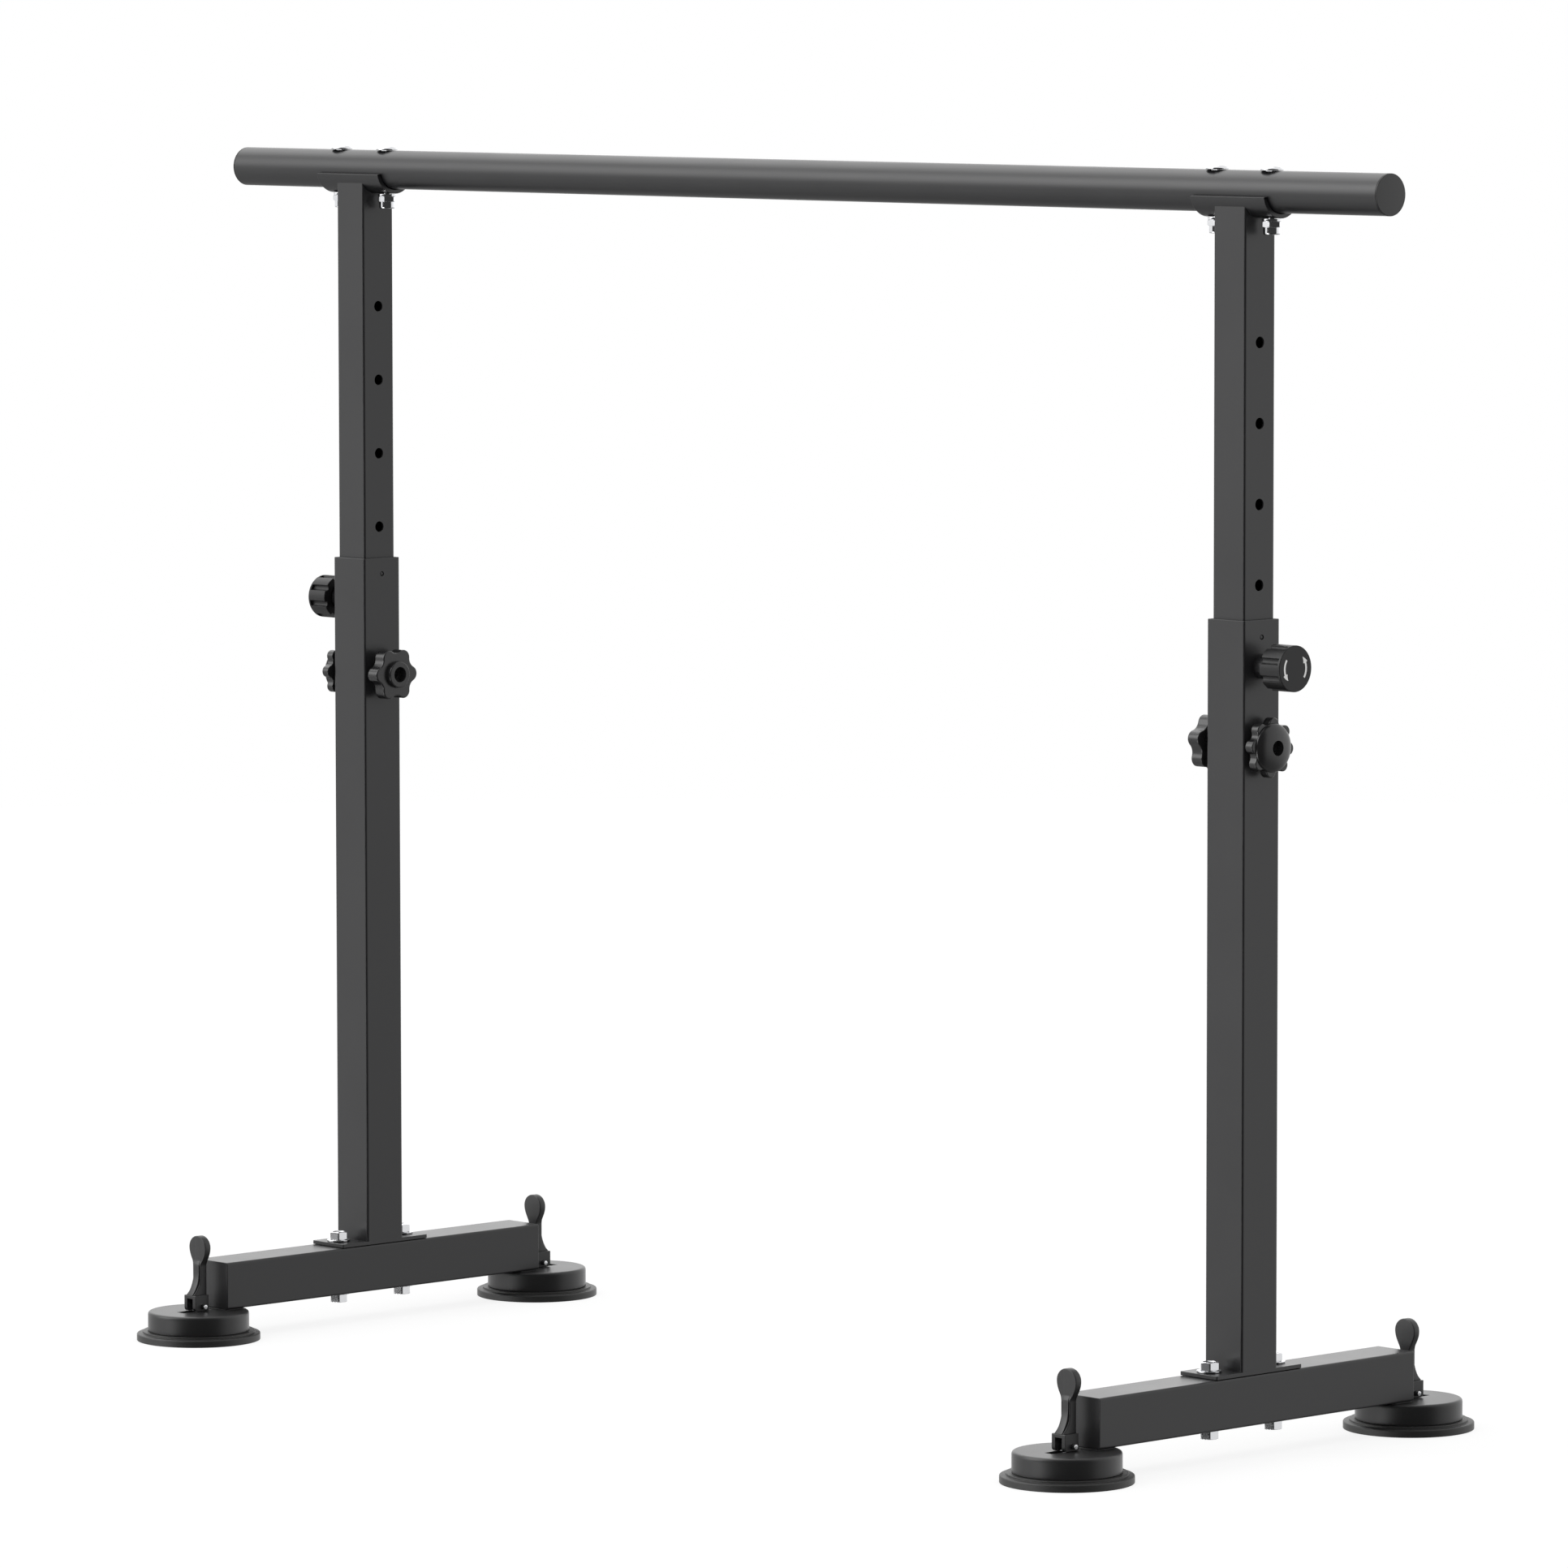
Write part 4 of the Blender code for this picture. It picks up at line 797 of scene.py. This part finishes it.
def lever_pin():
    """Round pin across the fork, a little proud of the block on both sides."""
    reach, radius = BLOCK_HALF_WIDTH + 0.0041, LEVER_PIN_RADIUS
    corners = [(0, -reach), (radius, -reach), (radius, reach), (0, reach)]
    return moved(turned(eased(corners, (0, 0.0004, 0.0004, 0), steps=4), 48), TO_X)


def turn_arrows():
    """Two white arrows printed in a ring on the pull knob's face: flat bands that end in a widening head."""
    radius, body, head, tip, neck, first, sweep = 0.0135, 0.0010, 0.0028, 0.00002, 0.68, 0.5, np.radians(85)
    low = POST_FACE + PULL_FACE - 0.00001
    high = low + 0.00004
    t = np.linspace(0, 1, 41)
    half = np.where(t < neck, body, head * (1 - t) / (1 - neck))
    half[-1] = tip
    section = [(radius - half, low), (radius + half, low), (radius + half, high), (radius - half, high)]
    bands = []
    for start in (first + np.pi / 2, first - np.pi / 2):
        angle = start + sweep * t
        bands.append(shell(np.stack([around(reach, angle, height) for reach, height in section], axis=1)))
    return together(*bands)


def node_group(name, numbers, outputs):
    """Empty shader group with a vector and some numbers going in, and numbers coming out."""
    group = bpy.data.node_groups.new(name, "ShaderNodeTree")
    group.interface.new_socket("Vector", in_out="INPUT", socket_type="NodeSocketVector")
    for label, value in numbers.items():
        group.interface.new_socket(label, in_out="INPUT", socket_type="NodeSocketFloat").default_value = value
    for label in outputs:
        group.interface.new_socket(label, in_out="OUTPUT", socket_type="NodeSocketFloat")
    return group, group.nodes.new("NodeGroupInput"), group.nodes.new("NodeGroupOutput")


def feed(tree, socket, value):
    """Gives an input socket a number or a link."""
    if isinstance(value, (int, float)):
        socket.default_value = value
    else:
        tree.links.new(value, socket)


def noise(tree, scale, detail, vector, roughness=0.5):
    node = tree.nodes.new("ShaderNodeTexNoise")
    for label, value in (("Detail", detail), ("Roughness", roughness), ("Scale", scale), ("Vector", vector)):
        feed(tree, node.inputs[label], value)
    return node.outputs["Fac"]


def spread(tree, value, low, high, to_low, to_high, smooth=False):
    """Map Range from one pair of limits to another, each a number or a socket."""
    node = tree.nodes.new("ShaderNodeMapRange")
    node.interpolation_type = "SMOOTHSTEP" if smooth else "LINEAR"
    limits = (("From Min", low), ("From Max", high), ("To Min", to_low), ("To Max", to_high))
    for label, given in (("Value", value), *limits):
        feed(tree, node.inputs[label], given)
    return node.outputs["Result"]


def reckon(tree, operation, first, second):
    """Math node on two sockets or numbers."""
    node = tree.nodes.new("ShaderNodeMath")
    node.operation = operation
    feed(tree, node.inputs[0], first)
    feed(tree, node.inputs[1], second)
    return node.outputs[0]


def choose(tree, kind, other, own):
    """Picks one strength for rays of one kind of Light Path and another for all the rest."""
    node = tree.nodes.new("ShaderNodeMix")
    tree.links.new(tree.nodes.new("ShaderNodeLightPath").outputs[kind], node.inputs["Factor"])
    feed(tree, node.inputs["A"], other)
    feed(tree, node.inputs["B"], own)
    return node.outputs["Result"]


def make_grain():
    """Surface grain: fine noise with a little of a coarser one, as a height between 0 and 1."""
    group, given, put = node_group("surface_grain", {"Scale": 800.0, "Coarse": 0.3}, ["Height"])
    fine = noise(group, given.outputs["Scale"], 3.0, given.outputs["Vector"])
    coarse_scale = reckon(group, "MULTIPLY", given.outputs["Scale"], 0.17)
    coarse = noise(group, coarse_scale, 2.0, given.outputs["Vector"])
    mix = group.nodes.new("ShaderNodeMix")
    group.links.new(given.outputs["Coarse"], mix.inputs["Factor"])
    group.links.new(fine, mix.inputs["A"])
    group.links.new(coarse, mix.inputs["B"])
    group.links.new(mix.outputs["Result"], put.inputs["Height"])
    return group


def make_drift():
    """Slow drift over the surface: a broad noise, spread between a low and a high value and as a mask."""
    group, given, put = node_group("slow_drift", {"Scale": 9.0, "Low": 0.3, "High": 0.36}, ["Value", "Mask"])
    broad = noise(group, given.outputs["Scale"], 4.0, given.outputs["Vector"], 0.6)
    for label, low, high in (("Mask", 0.0, 1.0), ("Value", given.outputs["Low"], given.outputs["High"])):
        group.links.new(spread(group, broad, 0.3, 0.7, low, high), put.inputs[label])
    return group


GRAIN = make_grain()
DRIFT = make_drift()


def finish(name, dark, light, rough, grain_scale, grain_microns, metallic=0.0, ior=1.5):
    """Finish of one kind of surface: a drift between two colours and two roughnesses over fine grain."""
    material = bpy.data.materials.new(name)
    material.use_nodes = True
    tree = material.node_tree
    shader = tree.nodes["Principled BSDF"]
    shader.inputs["Metallic"].default_value = metallic
    shader.inputs["IOR"].default_value = ior
    place = tree.nodes.new("ShaderNodeTexCoord").outputs["Object"]
    drift = tree.nodes.new("ShaderNodeGroup")
    drift.node_tree = DRIFT
    drift.inputs["Low"].default_value, drift.inputs["High"].default_value = rough
    grain = tree.nodes.new("ShaderNodeGroup")
    grain.node_tree = GRAIN
    grain.inputs["Scale"].default_value = grain_scale
    tree.links.new(place, drift.inputs["Vector"])
    tree.links.new(place, grain.inputs["Vector"])
    tint = tree.nodes.new("ShaderNodeMix")
    tint.data_type = "RGBA"
    tint.inputs["A"].default_value = (*dark, 1)
    tint.inputs["B"].default_value = (*light, 1)
    tree.links.new(drift.outputs["Mask"], tint.inputs["Factor"])
    tree.links.new(tint.outputs["Result"], shader.inputs["Base Color"])
    tree.links.new(drift.outputs["Value"], shader.inputs["Roughness"])
    bump = tree.nodes.new("ShaderNodeBump")
    bump.inputs["Distance"].default_value = grain_microns * MICRON
    tree.links.new(grain.outputs["Height"], bump.inputs["Height"])
    tree.links.new(bump.outputs["Normal"], shader.inputs["Normal"])
    return material


# Dark and light colour, range of roughness, scale of the grain and its depth in microns, metallic, refraction
SURFACES = {
    "painted_steel": ((0.011, 0.011, 0.012), (0.014, 0.014, 0.015), (0.34, 0.38), 900, 6),
    "moulded_plastic": ((0.012, 0.012, 0.0125), (0.015, 0.015, 0.0155), (0.38, 0.42), 2600, 6),
    "knob_plastic": ((0.010, 0.010, 0.0105), (0.013, 0.013, 0.0135), (0.25, 0.29), 2200, 5),
    # painted shade: a darker, less reflective copy of the knob plastic, worn by the pull knob alone
    "matt_shaded_knob_plastic": ((0.007, 0.007, 0.0075), (0.011, 0.011, 0.0115), (0.40, 0.46), 1500, 12, 0.0, 1.38),
    "cup_rubber": ((0.014, 0.014, 0.014), (0.022, 0.022, 0.021), (0.45, 0.55), 1500, 15),
    "bright_zinc": ((0.70, 0.71, 0.73), (0.76, 0.76, 0.77), (0.10, 0.16), 1800, 2, 1.0),
    # painted shade: a near-black, rough, barely reflective lining for the inner faces of the inner posts, so
    # their holes look dark
    "painted_shade_inside": ((0.003, 0.003, 0.003), (0.006, 0.006, 0.005), (0.85, 0.95), 600, 20, 0.0, 1.05),
    "white_print": ((0.72, 0.72, 0.71), (0.78, 0.78, 0.77), (0.45, 0.5), 1800, 4),
}
FINISHES = {name: finish(name, *surface) for name, surface in SURFACES.items()}


def dress(name, mesh, place, slot, node=None, body=None, look=None, inside=None):
    """Sets a finished piece in the scene: its place goes into its mesh, and it rides on its body.

    Where a node is given, the piece rides on the node's body and stands in for it.
    """
    shape = moved(mesh, place)
    # inside names a second finish for faces inside a piece: the painted shade that lines the inner posts
    for label in (look or slot, inside):
        if label:
            shape.materials.append(FINISHES[label])
    shape.shade_smooth()
    shape.set_sharp_from_angle(angle=SHARP)
    piece = bpy.data.objects.new(name, shape)
    bpy.context.scene.collection.objects.link(piece)
    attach(piece, body or frame["nodes"][node]["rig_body"])
    if node:
        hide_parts(node)


def stand_in(node, mesh, place, slot, look=None, inside=None):
    dress(node + "_piece", mesh, place, slot, node=node, look=look, inside=inside)


def dress_bar():
    rail = shift(z=RAIL_HEIGHT)
    stand_in("handrail", handrail(), rail, "painted_steel")
    cap, post, bolt, nut = rail_cap(), inner_post(), carriage_bolt(), lock_nut()
    for side, way in STANDS:
        end = rail @ shift(x=way * RAIL_LENGTH / 2) @ spun(90 * way, "Z") @ TO_Y
        stand_in(f"{side}_rail_cap", cap, end, "moulded_plastic")
        # the inner post's inside takes the painted shade lining
        middle, inside = way * POST_SPACING / 2, "painted_shade_inside"
        stand_in(f"{side}_inner_post", post, rail @ shift(x=middle), "painted_steel", inside=inside)
        for place, out in (("inboard", -1), ("outboard", 1)):
            at = rail @ shift(x=middle + way * out * CARRIAGE_SPACING / 2)
            stand_in(f"{side}_{place}_carriage_bolt", bolt, at, "bright_zinc")
            stand_in(f"{side}_{place}_lock_nut", nut, at, "bright_zinc")


def dress_stands():
    post, base, sleeve, bolt, nut = outer_post(), base_tube(), guide_sleeve(), base_bolt(), base_nut()
    pin, pull, arrows = pull_pin(), pull_knob(), turn_arrows()
    clamps = {
        "outboard": (90, FLOWER_TURN, flower_knob(), clamp_stud(FLOWER_STUD_END)),
        "inboard": (-90, STAR_TURN, star_knob(), clamp_stud(STAR_STUD_END)),
    }
    for side, way in STANDS:
        stand = shift(x=way * POST_SPACING / 2) @ spun(90 - 90 * way, "Z")
        stand_in(f"{side}_outer_post", post, stand, "painted_steel")
        stand_in(f"{side}_base_tube", base, stand, "painted_steel")
        stand_in(f"{side}_guide_sleeve", sleeve, stand, "moulded_plastic")
        for place, out in ENDS:
            at = stand @ shift(y=way * out * BOLT_SPACING / 2) @ spun(BASE_HEX_TURN, "Z")
            stand_in(f"{side}_{place}_base_bolt", bolt, at, "bright_zinc")
            stand_in(f"{side}_{place}_base_nut", nut, at, "bright_zinc")
        pull_axis = stand @ shift(z=PULL_HEIGHT) @ TO_X
        turned_pull = pull_axis @ spun(PULL_TURN[side], "Z")
        stand_in(f"{side}_pull_pin", pin, pull_axis, "bright_zinc")
        # the pull knob wears a darker copy of the knob plastic: painted shade over its flutes and sides
        stand_in(f"{side}_pull_knob", pull, turned_pull, "knob_plastic", look="matt_shaded_knob_plastic")
        dress(f"{side}_turn_arrows", arrows, turned_pull, "white_print", body=f"{side}_pin_knob")
        for place, (face, turn, knob, stud) in clamps.items():
            axis = stand @ shift(z=CLAMP_HEIGHT) @ spun(face, "Z") @ TO_Y
            stand_in(f"{side}_{place}_clamp_stud", stud, axis, "bright_zinc")
            stand_in(f"{side}_{place}_clamp_knob", knob, axis @ spun(turn[side], "Z"), "knob_plastic")


def dress_feet():
    cup, cover, stem, handle, pin = suction_cup(), cup_cover(), cup_stem(), lever(), lever_pin()
    for side, way in STANDS:
        for end, out in ENDS:
            foot = shift(x=way * POST_SPACING / 2, y=out * FOOT_SPACING / 2) @ spun(90 + 90 * out, "Z")
            pivot = foot @ shift(y=-LEVER_PIN_OUT, z=LEVER_PIN_HEIGHT)
            name = f"{side}_{end}"
            stand_in(f"{name}_suction_cup", cup, foot, "cup_rubber")
            stand_in(f"{name}_cup_cover", cover, foot, "moulded_plastic")
            stand_in(f"{name}_cup_stem", stem, pivot, "bright_zinc")
            stand_in(f"{name}_lever", handle, pivot, "moulded_plastic")
            stand_in(f"{name}_lever_pin", pin, pivot, "bright_zinc")


def set_camera():
    """Camera of the photograph: level at its azimuth, square to its view, then rolled a little."""
    forward = Vector(VIEW).normalized()
    level = Vector((math.cos(VIEW_AZIMUTH), math.sin(VIEW_AZIMUTH), 0))
    above = level.cross(forward)
    right = level * math.cos(VIEW_ROLL) + above * math.sin(VIEW_ROLL)
    up = above * math.cos(VIEW_ROLL) - level * math.sin(VIEW_ROLL)
    camera = bpy.data.objects.new("camera", bpy.data.cameras.new("camera"))
    bpy.context.scene.collection.objects.link(camera)
    camera.matrix_world = Matrix((right, up, -forward)).transposed().to_4x4()
    camera.location = EYE
    camera.data.lens = LENS
    camera.data.sensor_width = 36
    camera.data.clip_end = 60
    bpy.context.scene.camera = camera


def direction(azimuth, elevation):
    """Unit vector to an azimuth from +X and an elevation above the horizon, both in degrees."""
    a, e = math.radians(azimuth), math.radians(elevation)
    return Vector((math.cos(a) * math.cos(e), math.sin(a) * math.cos(e), math.sin(e)))


def soft_box(name, azimuth, elevation, distance, side, power):
    """Square area lamp on a sphere about the middle of the barre, facing it."""
    lamp = bpy.data.objects.new(name, bpy.data.lights.new(name, "AREA"))
    lamp.data.size = side
    lamp.data.energy = power
    out = direction(azimuth, elevation)
    lamp.location = Vector((0, 0, 0.5)) + out * distance
    lamp.rotation_mode = "QUATERNION"
    lamp.rotation_quaternion = out.to_track_quat("Z", "Y")
    bpy.context.scene.collection.objects.link(lamp)


def towards(tree, way, patch, low, high, smooth=True):
    """Goes from low to high as a ray turns towards a patch, by the cosine of the angle between them."""
    azimuth, elevation, start, full = patch[:4]
    node = tree.nodes.new("ShaderNodeVectorMath")
    node.operation = "DOT_PRODUCT"
    node.inputs[1].default_value = direction(azimuth, elevation)
    tree.links.new(way, node.inputs[0])
    return spread(tree, node.outputs["Value"], start, full, low, high, smooth)


def set_world():
    """White surround for the camera, and an even light.

    Reflections see a studio: about 1 all round, less below the horizon, a dark side about where the camera
    stands, and soft patches that add light.
    """
    world = bpy.data.worlds.new("surround")
    bpy.context.scene.world = world
    world.use_nodes = True
    tree = world.node_tree
    shader = tree.nodes["Background"]
    shader.inputs["Color"].default_value = (1, 1, 1, 1)
    way = tree.nodes.new("ShaderNodeTexCoord").outputs["Generated"]
    split = tree.nodes.new("ShaderNodeSeparateXYZ")
    tree.links.new(way, split.inputs[0])
    low = towards(tree, way, LOW_SIDE, *LOW_LEVELS, smooth=False)
    studio = spread(tree, split.outputs["Z"], *HORIZON, low, STUDIO_LEVEL)
    studio = reckon(tree, "MULTIPLY", studio, towards(tree, way, DARK_SIDE, 1.0, 1.0 - DARK_SIDE[-1]))
    for patch in (BACK_PATCH, TOP_PATCH, KEY_PATCH, LOW_PATCH, RIGHT_PATCH):
        studio = reckon(tree, "ADD", studio, towards(tree, way, patch, 0.0, patch[-1]))
    lit = choose(tree, "Is Glossy Ray", EVEN_LEVEL, studio)
    tree.links.new(choose(tree, "Is Camera Ray", lit, 1.0), shader.inputs["Strength"])


def mixed(tree, kind, share, first, second):
    """Shows rays of one kind a share of the second shader, and all others the first shader alone."""
    node = tree.nodes.new("ShaderNodeMixShader")
    for place, value in enumerate((choose(tree, kind, 0.0, share), first.outputs[0], second.outputs[0])):
        tree.links.new(value, node.inputs[place])
    return node


def set_floor():
    """Round pale floor. The camera sees it white with a faint shadow, and reflections look past it."""
    radius, top, bottom, grey, glow_level, glow_share = 6.0, -0.0002, -0.01, 0.60, 1.28, 0.65
    floor = bpy.data.objects.new("floor", rod(radius, top, bottom, 64))
    bpy.context.scene.collection.objects.link(floor)
    material = bpy.data.materials.new("pale_floor")
    material.use_nodes = True
    tree = material.node_tree
    tree.nodes.clear()
    matt = tree.nodes.new("ShaderNodeBsdfDiffuse")
    matt.inputs["Color"].default_value = (grey, grey, grey, 1)
    glow = tree.nodes.new("ShaderNodeEmission")
    glow.inputs["Strength"].default_value = glow_level
    clear = tree.nodes.new("ShaderNodeBsdfTransparent")
    pale = mixed(tree, "Is Camera Ray", glow_share, matt, glow)
    past = mixed(tree, "Is Glossy Ray", 1.0, pale, clear)
    put = tree.nodes.new("ShaderNodeOutputMaterial")
    tree.links.new(past.outputs[0], put.inputs["Surface"])
    floor.data.materials.append(material)


dress_bar()
dress_stands()
dress_feet()
set_camera()
set_world()
set_floor()
soft_box("key_soft_box", azimuth=250, elevation=48, distance=4.0, side=2.0, power=25)
bpy.context.scene.view_settings.view_transform = "Standard"
